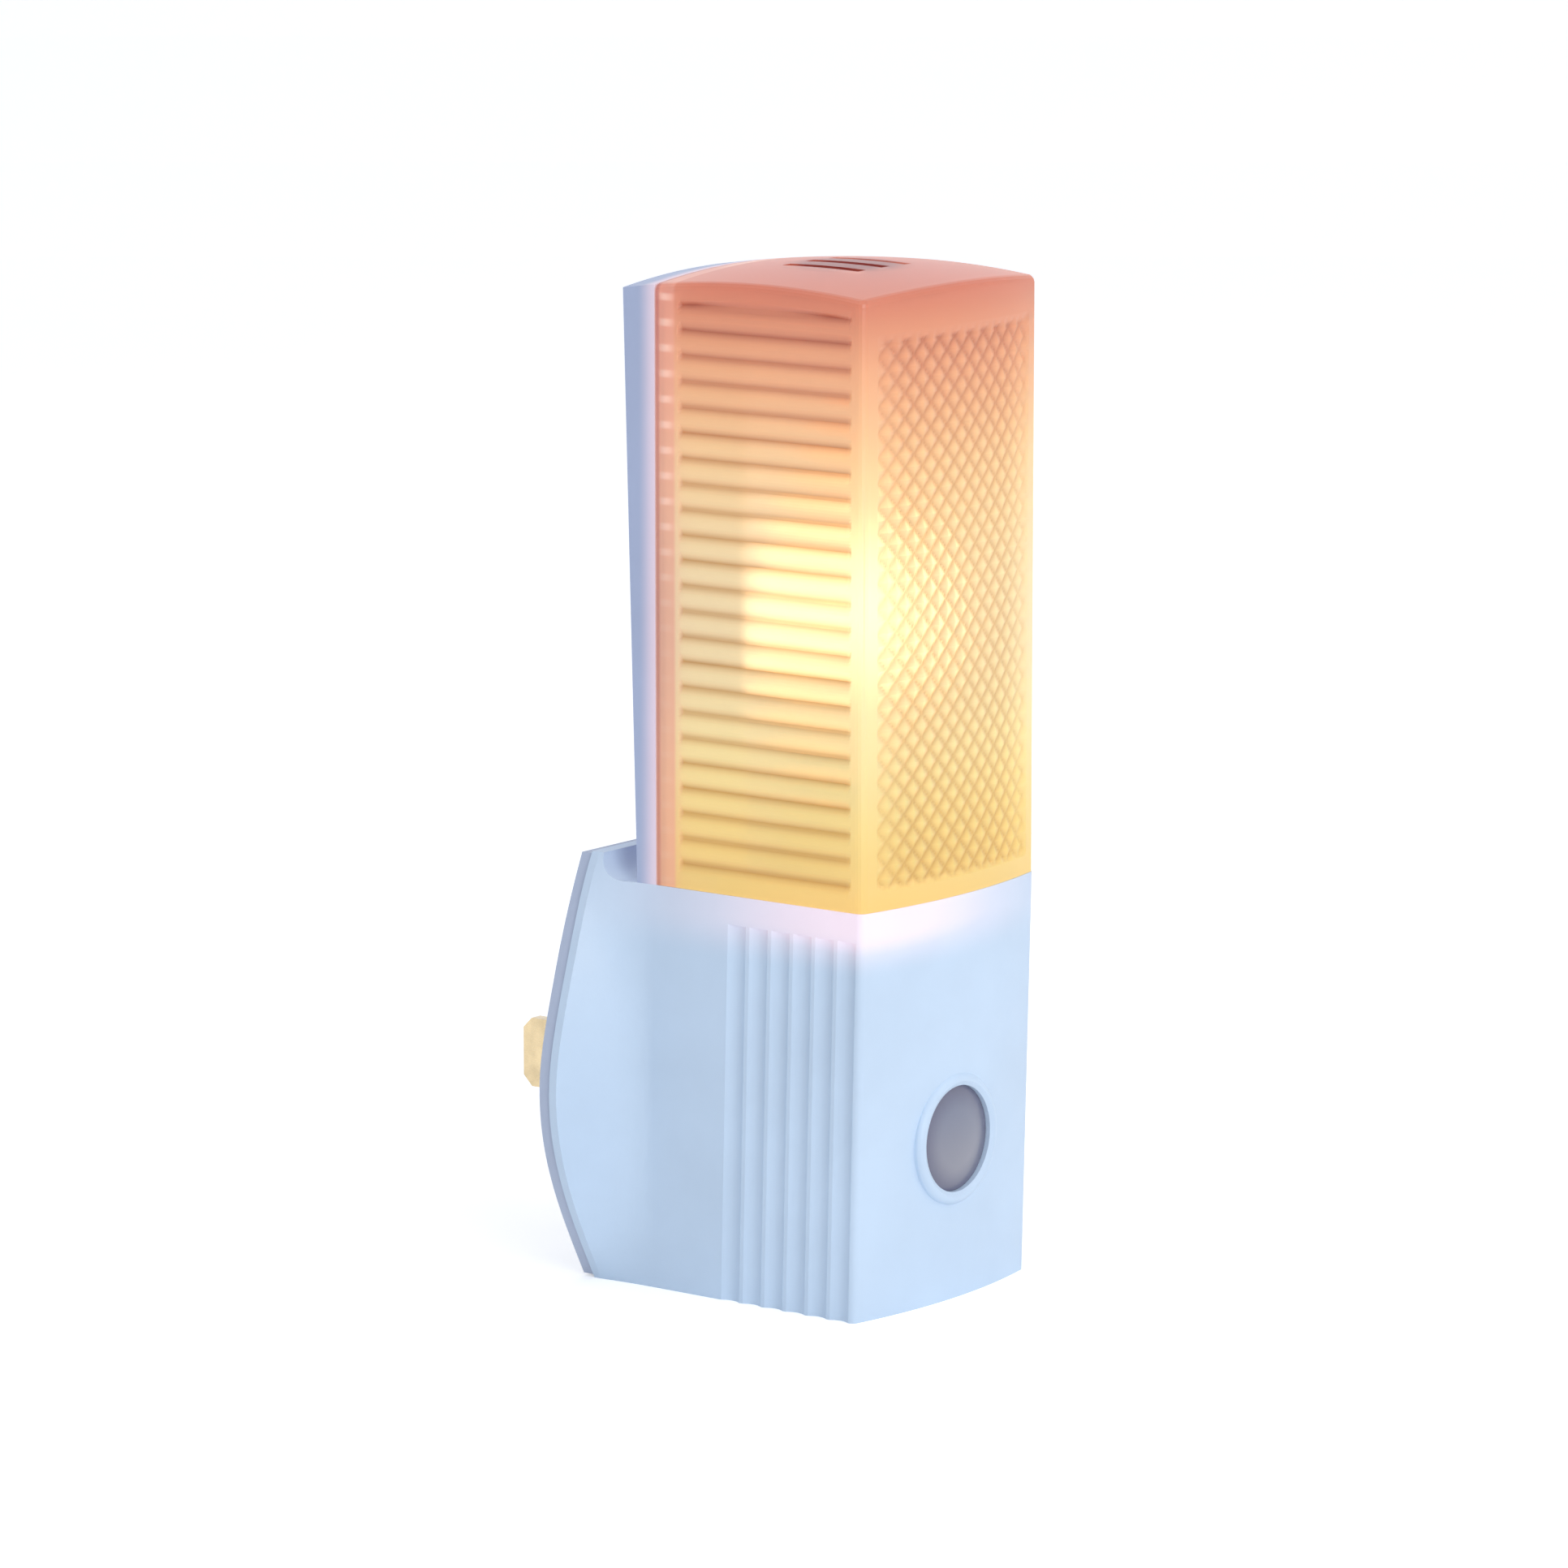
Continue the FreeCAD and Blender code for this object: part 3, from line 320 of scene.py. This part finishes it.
LENS_STOPS = [
    (0.00, (0.76, 0.58, 0.22)),
    (0.25, (0.82, 0.72, 0.36)),
    (0.50, (0.82, 0.68, 0.38)),
    (0.70, (0.80, 0.60, 0.34)),
    (0.86, (0.74, 0.43, 0.25)),
    (1.00, (0.56, 0.18, 0.12)),
]
# Painted shade in the lens's grooves, darker and redder towards the top
PAINTED_GROOVE_SHADE_STOPS = [
    (0.00, (0.40, 0.20, 0.04)),
    (0.60, (0.42, 0.20, 0.05)),
    (0.85, (0.34, 0.10, 0.06)),
    (1.00, (0.18, 0.02, 0.02)),
]
PAINTED_GROOVE_SHADE_SHARE = 0.88
LENS_ROUGHNESS = 0.3
LENS_CLEARNESS = 0.55
LENS_MARGIN = (0.74, 0.40, 0.31)
LENS_MARGIN_SHARE = 0.7
# Painted highlights along the margin at the ends of the ribs
LENS_MARGIN_PAINTED_GLINT = (0.98, 0.74, 0.62)
LENS_MARGIN_WIDTH = 2.8 * MM
PAINTED_GLINT_MIDDLE = LENS_MARGIN_WIDTH * 0.4
LENS_LIP_SHADE = (0.34, 0.10, 0.12)
LENS_LIP_SHARE = 0.6
LENS_LIP_WIDTH = 0.7 * MM
VENT_SHADE = (0.22, 0.03, 0.03)
VENT_SHADE_SHARE = 0.85
VENT_SHADE_REACH = 8.0 * MM
# Painted glow on the lens: paler level with the lamp, and emitting its own colour
GLOW_REACH = 24.0 * MM
GLOW_COLOUR = (0.84, 0.74, 0.50)
GLOW_SHARE = 0.8
EMISSION_LEVEL_WITH_LAMP = 0.20
EMISSION_AWAY_FROM_LAMP = 0.27


def lens_material():
    """Amber plastic lit from behind, with its glow painted on: warm by height, painted paler beside the
    lamp, and painted darker in the grooves.
    """
    n = Nodes("lens_amber_plastic")
    share = n.stretch(n.axis(2), float(lens_low[2]), float(lens_high[2]))
    off_level = n.maths("ABSOLUTE", n.maths("SUBTRACT", n.axis(2), glow_z))
    # A painted highlight: the lens paler level with the lamp
    lit = n.stretch(off_level, 0.0, GLOW_REACH, GLOW_SHARE, 0.0, smooth=True)
    body = n.mix(lit, n.ramp(share, LENS_STOPS), GLOW_COLOUR)

    # The plain margin beside the upright, where the ends of the ribs get a row of painted highlights
    back = float(lens_high[1])
    start = back - LENS_MARGIN_WIDTH
    rear = n.stretch(n.axis(1), start, back - LENS_MARGIN_WIDTH * 0.8, 0.0, LENS_MARGIN_SHARE, smooth=True)
    body = n.mix(rear, body, LENS_MARGIN)
    turns = n.stretch(n.axis(2), deck_z, deck_z + RIB_PITCH, 0.0, 2 * math.pi)
    turns.node.clamp = False
    wave = n.stretch(n.maths("SINE", turns), 0.3, 1.0, smooth=True)
    line = n.stretch(n.axis(1), start, back - PAINTED_GLINT_MIDDLE, smooth=True)
    edge = n.stretch(n.axis(1), back - PAINTED_GLINT_MIDDLE, back, 1.0, 0.0, smooth=True)
    high_up = n.stretch(share, 0.35, 0.65, 0.1, 0.7, smooth=True)
    across = n.maths("MULTIPLY", line, edge)
    # Painted highlights at rib pitch, strongest in the upper middle of the margin
    painted_glint = n.maths("MULTIPLY", n.maths("MULTIPLY", wave, high_up), across)
    body = n.mix(painted_glint, body, LENS_MARGIN_PAINTED_GLINT)
    lip_start = back - LENS_LIP_WIDTH
    lip = n.stretch(n.axis(1), lip_start, back - LENS_LIP_WIDTH * 0.3, 0.0, LENS_LIP_SHARE, smooth=True)
    body = n.mix(lip, body, LENS_LIP_SHADE)

    # Painted shade in the grooves, read from the mesh's relief attribute
    relief = n.add("ShaderNodeAttribute", attribute_name="relief").outputs["Fac"]
    painted_groove_shade = n.maths("MULTIPLY", relief, PAINTED_GROOVE_SHADE_SHARE)
    body = n.mix(painted_groove_shade, body, n.ramp(share, PAINTED_GROOVE_SHADE_STOPS))
    from_vents = n.distance((lamp_x, lamp_y, float(lens_high[2])))
    half_reach = 0.5 * VENT_SHADE_REACH
    shade = n.stretch(from_vents, half_reach, VENT_SHADE_REACH, VENT_SHADE_SHARE, 0.0, smooth=True)
    body = n.mix(shade, body, VENT_SHADE)
    n.link(body, n.shader.inputs["Base Color"])
    # The lens's glow is painted on: it emits its own colour, a little less strongly level with the lamp
    n.link(body, n.shader.inputs["Emission Color"])
    levels = (EMISSION_LEVEL_WITH_LAMP, EMISSION_AWAY_FROM_LAMP)
    strength = n.stretch(off_level, 0.0, GLOW_REACH, *levels, smooth=True)
    n.link(strength, n.shader.inputs["Emission Strength"])
    n.set(roughness=LENS_ROUGHNESS, ior=GLASS_IOR, transmission_weight=LENS_CLEARNESS)
    return n.material


WINDOW_EDGE_START = 3.0 * MM
WINDOW_EDGE_END = 6.0 * MM
WINDOW_SHADE_BELOW = 4.0 * MM
WINDOW_SHADE_ABOVE = 5.0 * MM


def window_material():
    """Smoked plastic, darker at its upper edge, over the pale disc of the cell."""
    n = moulded_plastic("window_smoked_plastic", (0.30, 0.30, 0.37), 0.22, 1500.0, 0.05, 0.05)
    centre = (0, float(housing_low[1]), sensor_z())
    edge = n.stretch(n.distance(centre), WINDOW_EDGE_START, WINDOW_EDGE_END, smooth=True)
    shade_start = centre[2] - WINDOW_SHADE_BELOW
    upper = n.stretch(n.axis(2), shade_start, centre[2] + WINDOW_SHADE_ABOVE, smooth=True)
    tone = n.mix(upper, (0.30, 0.30, 0.35), (0.22, 0.24, 0.32))
    n.link(n.mix(edge, tone, (0.17, 0.17, 0.24)), n.shader.inputs["Base Color"])
    return n.material


def sensor_z():
    low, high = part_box("sensor_window")
    return float(low[2] + high[2]) / 2


BULB_TINT_START = 6.0 * MM
BULB_TINT_END = 20.0 * MM
BULB_CORE_REACH = 9.7 * MM
BULB_GLOW_REACH = 14.5 * MM
BULB_CORE_EMISSION = 1.3
BULB_REST_EMISSION = 0.16
FILAMENT_EMISSION = 30.0


def bulb_glass_material():
    n = Nodes("bulb_lit_glass")
    away = n.distance((lamp_x, lamp_y, glow_z))
    colour = n.ramp(
        n.stretch(away, BULB_TINT_START, BULB_TINT_END),
        [(0.0, (1.0, 0.95, 0.95)), (0.5, (1.0, 0.84, 0.66)), (1.0, (1.0, 0.64, 0.36))],
    )
    n.link(colour, n.shader.inputs["Base Color"])
    n.link(colour, n.shader.inputs["Emission Color"])
    levels = (BULB_CORE_EMISSION, BULB_REST_EMISSION)
    strength = n.stretch(away, BULB_CORE_REACH, BULB_GLOW_REACH, *levels, smooth=True)
    n.link(strength, n.shader.inputs["Emission Strength"])
    n.bump(n.noise(500.0), 0.05, GRAIN_DEPTH)
    n.set(roughness=0.15, ior=GLASS_IOR, transmission_weight=0.6)
    return n.material


def clear_glass(name, colour=(0.95, 0.95, 0.95)):
    n = Nodes(name)
    shaded = tuple(channel * 0.95 for channel in colour)
    n.link(n.ramp(n.noise(120.0), [(0.3, shaded), (0.7, colour)]), n.shader.inputs["Base Color"])
    n.bump(n.noise(300.0), 0.04, GRAIN_DEPTH)
    n.set(roughness=0.05, ior=GLASS_IOR, transmission_weight=0.9)
    return n.material


def filament_material():
    n = Nodes("filament_hot_wire")
    heat = n.ramp(n.noise(900.0), [(0.3, (1.0, 0.72, 0.38)), (0.7, (1.0, 0.85, 0.60))])
    n.link(heat, n.shader.inputs["Emission Color"])
    n.set(base_color=(0.2, 0.18, 0.16, 1.0), emission_strength=FILAMENT_EMISSION)
    return n.material


def node_materials():
    """The material of each node of the frame that keeps its own solid."""
    white_wire = moulded_plastic("wire_white_sleeve", (0.80, 0.80, 0.78), 0.4).material
    black_wire = moulded_plastic("wire_black_sleeve", (0.02, 0.02, 0.025), 0.4, variation=0.2).material
    steel = metal("screw_zinc", (0.62, 0.62, 0.64)).material
    brass = metal("holder_brass", (0.80, 0.58, 0.28)).material
    blade = metal("blade_brass", (0.83, 0.66, 0.40), 0.22, (1, 1, 24)).material
    resistor = moulded_plastic("resistor_lacquer", (0.62, 0.45, 0.26), 0.35, variation=0.15).material
    board = moulded_plastic("board_laminate", (0.46, 0.30, 0.15), 0.5, 1800.0, 0.18, 0.3).material
    insulator = moulded_plastic("insulator_vitrite", (0.02, 0.02, 0.03), 0.15, variation=0.2).material
    return {
        "front_housing": housing_material(),
        "reflector_back": upright_material(),
        "rear_cover": moulded_plastic("cover_plastic", COVER_COLOUR).material,
        "blade_clamp": moulded_plastic("clamp_plastic", (0.75, 0.75, 0.72)).material,
        "sensor_window": window_material(),
        "photocell": moulded_plastic("cell_glaze", (0.55, 0.22, 0.12), 0.2, variation=0.2).material,
        "photocell_leads": metal("lead_tin", (0.66, 0.66, 0.66)).material,
        "circuit_board": board,
        "triac": moulded_plastic("triac_epoxy", (0.03, 0.03, 0.035), 0.5, variation=0.2).material,
        "capacitor": moulded_plastic("capacitor_lacquer", (0.10, 0.28, 0.50), 0.3, variation=0.15).material,
        "gate_resistor": resistor,
        "divider_resistor": resistor,
        "diac": clear_glass("diac_red_glass", (0.7, 0.2, 0.12)),
        "lamp_socket": moulded_plastic("holder_plastic", (0.78, 0.76, 0.70)).material,
        "socket_shell": brass,
        "socket_centre_contact": brass,
        "socket_screws": steel,
        "cover_screws": steel,
        "clamp_screw": steel,
        "blade_wide": blade,
        "blade_narrow": blade,
        "bulb_tip_contact": metal("tip_solder", (0.62, 0.62, 0.62), 0.35).material,
        "bulb_insulator": insulator,
        "bulb_cap": metal("cap_nickel", (0.74, 0.72, 0.68), 0.22).material,
        "bulb_glass": bulb_glass_material(),
        "bulb_stem": clear_glass("stem_glass"),
        "bulb_lead_wires": metal("support_wire", (0.60, 0.58, 0.55)).material,
        "bulb_filament": filament_material(),
        "live_wire": black_wire,
        "lamp_wire": black_wire,
        "neutral_wire": white_wire,
        "shell_wire": white_wire,
    }


def dress_frame():
    for name, material in node_materials().items():
        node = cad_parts[name]
        node.data.materials.clear()
        node.data.materials.append(material)


def smoothstep(value, low, high):
    t = np.clip((value - low) / (high - low), 0.0, 1.0)
    return t * t * (3 - 2 * t)


def past_margin(distance, margin, fade):
    """0 up to the margin from an edge, and 1 from the end of the fade beyond it."""
    return smoothstep(distance, margin, margin + fade)


def on_side(nx):
    return abs(nx) > SIDE_NORMAL


def on_front(nx):
    return abs(nx) < FRONT_NORMAL


class LensSkin:
    """One skin of the lens: three walls on the bowed plan and the crowned top with its vents."""

    SIDE_STEPS = 56
    FRONT_STEPS = 128
    CORNER_STEPS = 5
    ROUND_STEPS = 3
    ROWS_PER_RIB = 8
    LEVEL_ROWS_SHARE = 0.96
    LEVEL_ROWS_BELOW_TOP = 2 * MM

    def __init__(self, inset, detailed):
        self.inset = inset
        self.detailed = detailed
        half = float(lens_high[0])
        bow_y = float(lens_low[1])
        self.half = half
        self.back = float(lens_high[1])
        self.bow_radius = (half ** 2 + LENS_BOW ** 2) / (2 * LENS_BOW)
        self.bow_centre = bow_y + self.bow_radius
        self.top = float(lens_high[2]) - LENS_CROWN
        corner_y = self.bow_y(half, 0)
        self.middle_y = (corner_y + self.back) / 2
        reach = math.hypot(half, (self.back - corner_y) / 2)
        self.ball = (reach ** 2 + LENS_CROWN ** 2) / (2 * LENS_CROWN)

    def bow_y(self, x, inset):
        return self.bow_centre - math.sqrt((self.bow_radius - inset) ** 2 - x ** 2)

    def crown_z(self, x, y):
        centre_z = self.top + LENS_CROWN - self.ball
        reach = (self.ball - self.inset) ** 2 - x ** 2 - (y - self.middle_y) ** 2
        return centre_z + math.sqrt(reach)

    def grid_x(self):
        """Columns across the top, denser than the vents and lined up with their edges."""
        edges = []
        for i in range(VENT_COUNT):
            middle = (i - (VENT_COUNT - 1) / 2) * VENT_PITCH
            edges += [middle - VENT_WIDTH / 2, middle + VENT_WIDTH / 2]
        half = self.half - EDGE_ROUND - LENS_WALL
        stops = [-half] + edges + [half]
        columns = []
        for low, high in zip(stops, stops[1:]):
            count = max(2, round((high - low) / (2 * half) * self.FRONT_STEPS))
            columns += [low + (high - low) * k / count for k in range(count)]
        return columns + [half]

    def plan(self, extra):
        """Points and outward normals of the open plan at a further inset, from left rear to right rear."""
        inset = self.inset + extra
        half = self.half - inset
        radius = max(LENS_CORNER - inset, LEAST_CORNER)
        corner_y = self.bow_y(half - radius, inset)
        points = []
        for k in range(self.SIDE_STEPS):
            y = self.back + (corner_y + radius - self.back) * k / self.SIDE_STEPS
            points.append((-half, y, -1.0, 0.0))
        for k in range(self.CORNER_STEPS):
            angle = math.pi / 2 * k / self.CORNER_STEPS
            points.append((
                -half + radius - radius * math.cos(angle),
                corner_y + radius - radius * math.sin(angle),
                -math.cos(angle),
                -math.sin(angle),
            ))
        scale = (half - radius) / (self.half - EDGE_ROUND - LENS_WALL)
        for column in self.grid_x():
            x = column * scale
            y = self.bow_y(x, inset)
            points.append((x, y, x / self.bow_radius, -1.0))
        mirrored = [(-x, y, -nx, ny) for x, y, nx, ny in points[:self.SIDE_STEPS + self.CORNER_STEPS]]
        return points + mirrored[::-1]

    def relief(self, x, y, z, nx):
        """How far the ribs and prisms sink below the wall's face."""
        if on_side(nx):
            turn = abs(math.sin(math.pi * (z - deck_z) / RIB_PITCH))
            fade = past_margin(y - self.bow_y(self.half, 0), RIB_FRONT_MARGIN, RIB_END_FADE)
            fade *= past_margin(self.back - y, RIB_REAR_MARGIN, RIB_END_FADE)
            fade *= past_margin(z - deck_z, RIB_FOOT_MARGIN, RIB_FOOT_FADE)
            fade *= past_margin(self.top - z, RIB_TOP_MARGIN, RIB_TOP_FADE)
            return RIB_DEPTH * (1 - turn) * fade
        if on_front(nx):
            first = abs(((x + z) / PRISM_PITCH) % 1.0 * 2 - 1)
            second = abs(((x - z) / PRISM_PITCH) % 1.0 * 2 - 1)
            fade = past_margin(self.half - abs(x), PRISM_SIDE_MARGIN, PRISM_SIDE_FADE)
            fade *= past_margin(z - deck_z, PRISM_FOOT_MARGIN, PRISM_END_FADE)
            fade *= past_margin(self.top - z, PRISM_TOP_MARGIN, PRISM_END_FADE)
            return PRISM_DEPTH * max(first, second) * fade
        return 0.0

    def groove_shade(self, sink, x, nx):
        """How dark a groove looks: broad on the ribbed sides, and in fine lines between the prisms."""
        if on_side(nx):
            return (sink / RIB_DEPTH) ** 1.5
        inward = smoothstep(self.half - abs(x), LENS_CORNER, PRISM_SHADE_REACH)
        return (sink / PRISM_DEPTH) ** 2 * (PRISM_SHADE_AT_CORNER + PRISM_SHADE_INWARD * inward)

    def build(self):
        """Vertices and faces, the walls' rows first and then the top's grid."""
        vertices = []
        self.shades = {}
        rows = []
        wall_plan = self.plan(0)
        steps = int((self.top - deck_z) / RIB_PITCH * self.ROWS_PER_RIB)
        level_top = self.top - self.LEVEL_ROWS_BELOW_TOP
        for r in range(steps + 1):
            share = r / steps
            row = []
            for x, y, nx, ny in wall_plan:
                lift = self.crown_z(x, y) - EDGE_ROUND - level_top
                blend = max(0.0, (share - self.LEVEL_ROWS_SHARE) / (1 - self.LEVEL_ROWS_SHARE))
                z = deck_z + (level_top - deck_z) * share + lift * blend
                sink = self.relief(x, y, z, nx) if self.detailed else 0.0
                self.shades[len(vertices)] = self.groove_shade(sink, x, nx)
                row.append(len(vertices))
                vertices.append((x - nx * sink, y - ny * sink, z))
            rows.append(row)
        for k in range(1, self.ROUND_STEPS):
            angle = math.pi / 2 * k / self.ROUND_STEPS
            row = []
            for x, y, nx, ny in self.plan(EDGE_ROUND * (1 - math.cos(angle))):
                row.append(len(vertices))
                vertices.append((x, y, self.crown_z(x, y) - EDGE_ROUND * (1 - math.sin(angle))))
            rows.append(row)
        faces = []
        grid, top_row = self.top_grid(vertices, faces)
        rows.append(top_row)
        for lower, upper in zip(rows, rows[1:]):
            for a, b, c, d in zip(lower, lower[1:], upper[1:], upper):
                corners = [a, b, c, d] if c != d else [a, b, c]
                faces.append(corners)
        return vertices, faces

    def top_grid(self, vertices, faces):
        """The top's grid, whose edge is the last row of the walls; the vents are left out of it."""
        edge = self.plan(EDGE_ROUND)
        side = self.SIDE_STEPS
        corner = self.CORNER_STEPS
        front = edge[side + corner:len(edge) - side - corner]
        columns = len(front)
        levels = side + 1
        grid = []
        for j in range(levels):
            row = []
            for i, (x, front_y, nx, ny) in enumerate(front):
                y = front_y + (self.back - front_y) * j / side
                if i in (0, columns - 1):
                    left = edge[side - j]
                    x = left[0] if i == 0 else -left[0]
                    y = left[1] if j else front_y
                row.append(len(vertices))
                vertices.append((x, y, self.crown_z(x, y)))
            grid.append(row)
        for j in range(levels - 1):
            for i in range(columns - 1):
                x = (front[i][0] + front[i + 1][0]) / 2
                middle = self.middle_y
                y = sum(vertices[grid[j + dj][i + di]][1] for dj in (0, 1) for di in (0, 1)) / 4
                slot = round(x / VENT_PITCH)
                in_slot = abs(slot) <= (VENT_COUNT - 1) / 2 and abs(x - slot * VENT_PITCH) < VENT_WIDTH / 2
                if in_slot and abs(y - middle) < VENT_LENGTH / 2:
                    continue
                faces.append([grid[j][i], grid[j][i + 1], grid[j + 1][i + 1], grid[j + 1][i]])
        left = [grid[side - k][0] for k in range(side)]
        right = [grid[k + 1][-1] for k in range(side)]
        top_row = left + [grid[0][0]] * corner + grid[0] + [grid[0][-1]] * corner + right
        return grid, top_row


def boundary_edges(faces):
    """The edges that only one face uses, in that face's direction."""
    used = {}
    for face in faces:
        for a, b in zip(face, face[1:] + face[:1]):
            used[(a, b)] = used.get((a, b), 0) + 1
    return [(a, b) for a, b in used if (b, a) not in used and a != b]


def tidy_faces(faces):
    tidied = []
    for face in faces:
        kept = [v for k, v in enumerate(face) if v != face[k - 1]]
        if len(set(kept)) >= 3:
            tidied.append(kept)
    return tidied


def make_lens():
    outer = LensSkin(0, True)
    outer_vertices, outer_faces = outer.build()
    inner_vertices, inner_faces = LensSkin(LENS_WALL, False).build()
    outer_faces = tidy_faces(outer_faces)
    inner_faces = tidy_faces(inner_faces)
    shift = len(outer_vertices)
    faces = list(outer_faces)
    faces += [[v + shift for v in reversed(face)] for face in inner_faces]
    faces += [[b, a, a + shift, b + shift] for a, b in boundary_edges(outer_faces)]
    mesh = bpy.data.meshes.new("lens_cover")
    mesh.from_pydata(outer_vertices + inner_vertices, [], faces)
    # The relief attribute carries the painted groove shade to the lens material
    relief = mesh.attributes.new("relief", "FLOAT", "POINT")
    for vertex, shade in outer.shades.items():
        relief.data[vertex].value = shade
    mesh.validate()
    mesh.update()
    lens = bpy.data.objects.new("lens_cover", mesh)
    bpy.context.scene.collection.objects.link(lens)
    mesh.materials.append(lens_material())
    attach(lens, "lens_cover")
    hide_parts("lens")
    return lens


def seen_directly(tree, otherwise, seen):
    """One value for rays from the camera or from glossy and clear pieces, and another for the rest."""
    path = tree.nodes.new("ShaderNodeLightPath")
    rays = path.outputs["Is Camera Ray"]
    for kind in ("Is Glossy Ray", "Is Transmission Ray"):
        either = tree.nodes.new("ShaderNodeMath")
        either.operation = "MAXIMUM"
        tree.links.new(rays, either.inputs[0])
        tree.links.new(path.outputs[kind], either.inputs[1])
        rays = either.outputs["Value"]
    level = tree.nodes.new("ShaderNodeMapRange")
    level.inputs["To Min"].default_value = otherwise
    level.inputs["To Max"].default_value = seen
    tree.links.new(rays, level.inputs["Value"])
    return level.outputs["Result"]


def make_stage():
    """A white floor that curves up into a backdrop, pale to the camera and plain to the object."""
    z = float(housing_low[2])
    points = [(-PAPER_REACH, z), (PAPER_BEND_START, z)]
    for k in range(1, PAPER_BEND_STEPS + 1):
        angle = math.pi / 2 * k / PAPER_BEND_STEPS
        y = PAPER_BEND_START + PAPER_BEND * math.sin(angle)
        points.append((y, z + PAPER_BEND * (1 - math.cos(angle))))
    points.append((PAPER_BEND_START + PAPER_BEND, z + PAPER_REACH))
    vertices = []
    for y, height in points:
        vertices += [(-PAPER_REACH, y, height), (PAPER_REACH, y, height)]
    faces = [(2 * i, 2 * i + 1, 2 * i + 3, 2 * i + 2) for i in range(len(points) - 1)]
    mesh = bpy.data.meshes.new("floor_sweep")
    mesh.from_pydata(vertices, [], faces)
    floor = bpy.data.objects.new("floor_sweep", mesh)
    bpy.context.scene.collection.objects.link(floor)
    floor.rotation_euler = (0, 0, CAMERA_AZIMUTH)
    n = Nodes("floor_paper")
    paper = n.ramp(n.noise(4.0), [(0.3, (0.92, 0.92, 0.92)), (0.7, (0.94, 0.94, 0.94))])
    n.link(paper, n.shader.inputs["Base Color"])
    n.link(seen_directly(n.tree, 0.0, PAPER_LIFT), n.shader.inputs["Emission Strength"])
    n.set(roughness=0.9, emission_color=(1.0, 1.0, 1.0, 1.0))
    mesh.materials.append(n.material)


def area_light(name, place, size, power):
    data = bpy.data.lights.new(name, "AREA")
    data.size = size
    data.energy = power
    lamp = bpy.data.objects.new(name, data)
    bpy.context.scene.collection.objects.link(lamp)
    lamp.location = place
    heading = Vector(place) - Vector(LAMP_TARGET)
    lamp.rotation_euler = heading.to_track_quat("Z", "Y").to_euler()


def make_lights():
    for name, place, size, power in LAMPS:
        area_light(name, place, size, power)
    world = bpy.data.worlds.new("studio_world")
    bpy.context.scene.world = world
    world.use_nodes = True
    tree = world.node_tree
    background = tree.nodes["Background"]
    tint = tree.nodes.new("ShaderNodeMix")
    tint.data_type = "RGBA"
    tint.inputs[6].default_value = (*SKY_TINT, 1.0)
    tint.inputs[7].default_value = (1, 1, 1, 1)
    tree.links.new(seen_directly(tree, 0.0, 1.0), tint.inputs[0])
    tree.links.new(tint.outputs[2], background.inputs["Color"])
    tree.links.new(seen_directly(tree, SKY_LEVEL, 1.0), background.inputs["Strength"])


def main():
    make_camera()
    dress_frame()
    make_lens()
    make_stage()
    make_lights()
    bpy.context.scene.view_settings.view_transform = "Standard"


main()
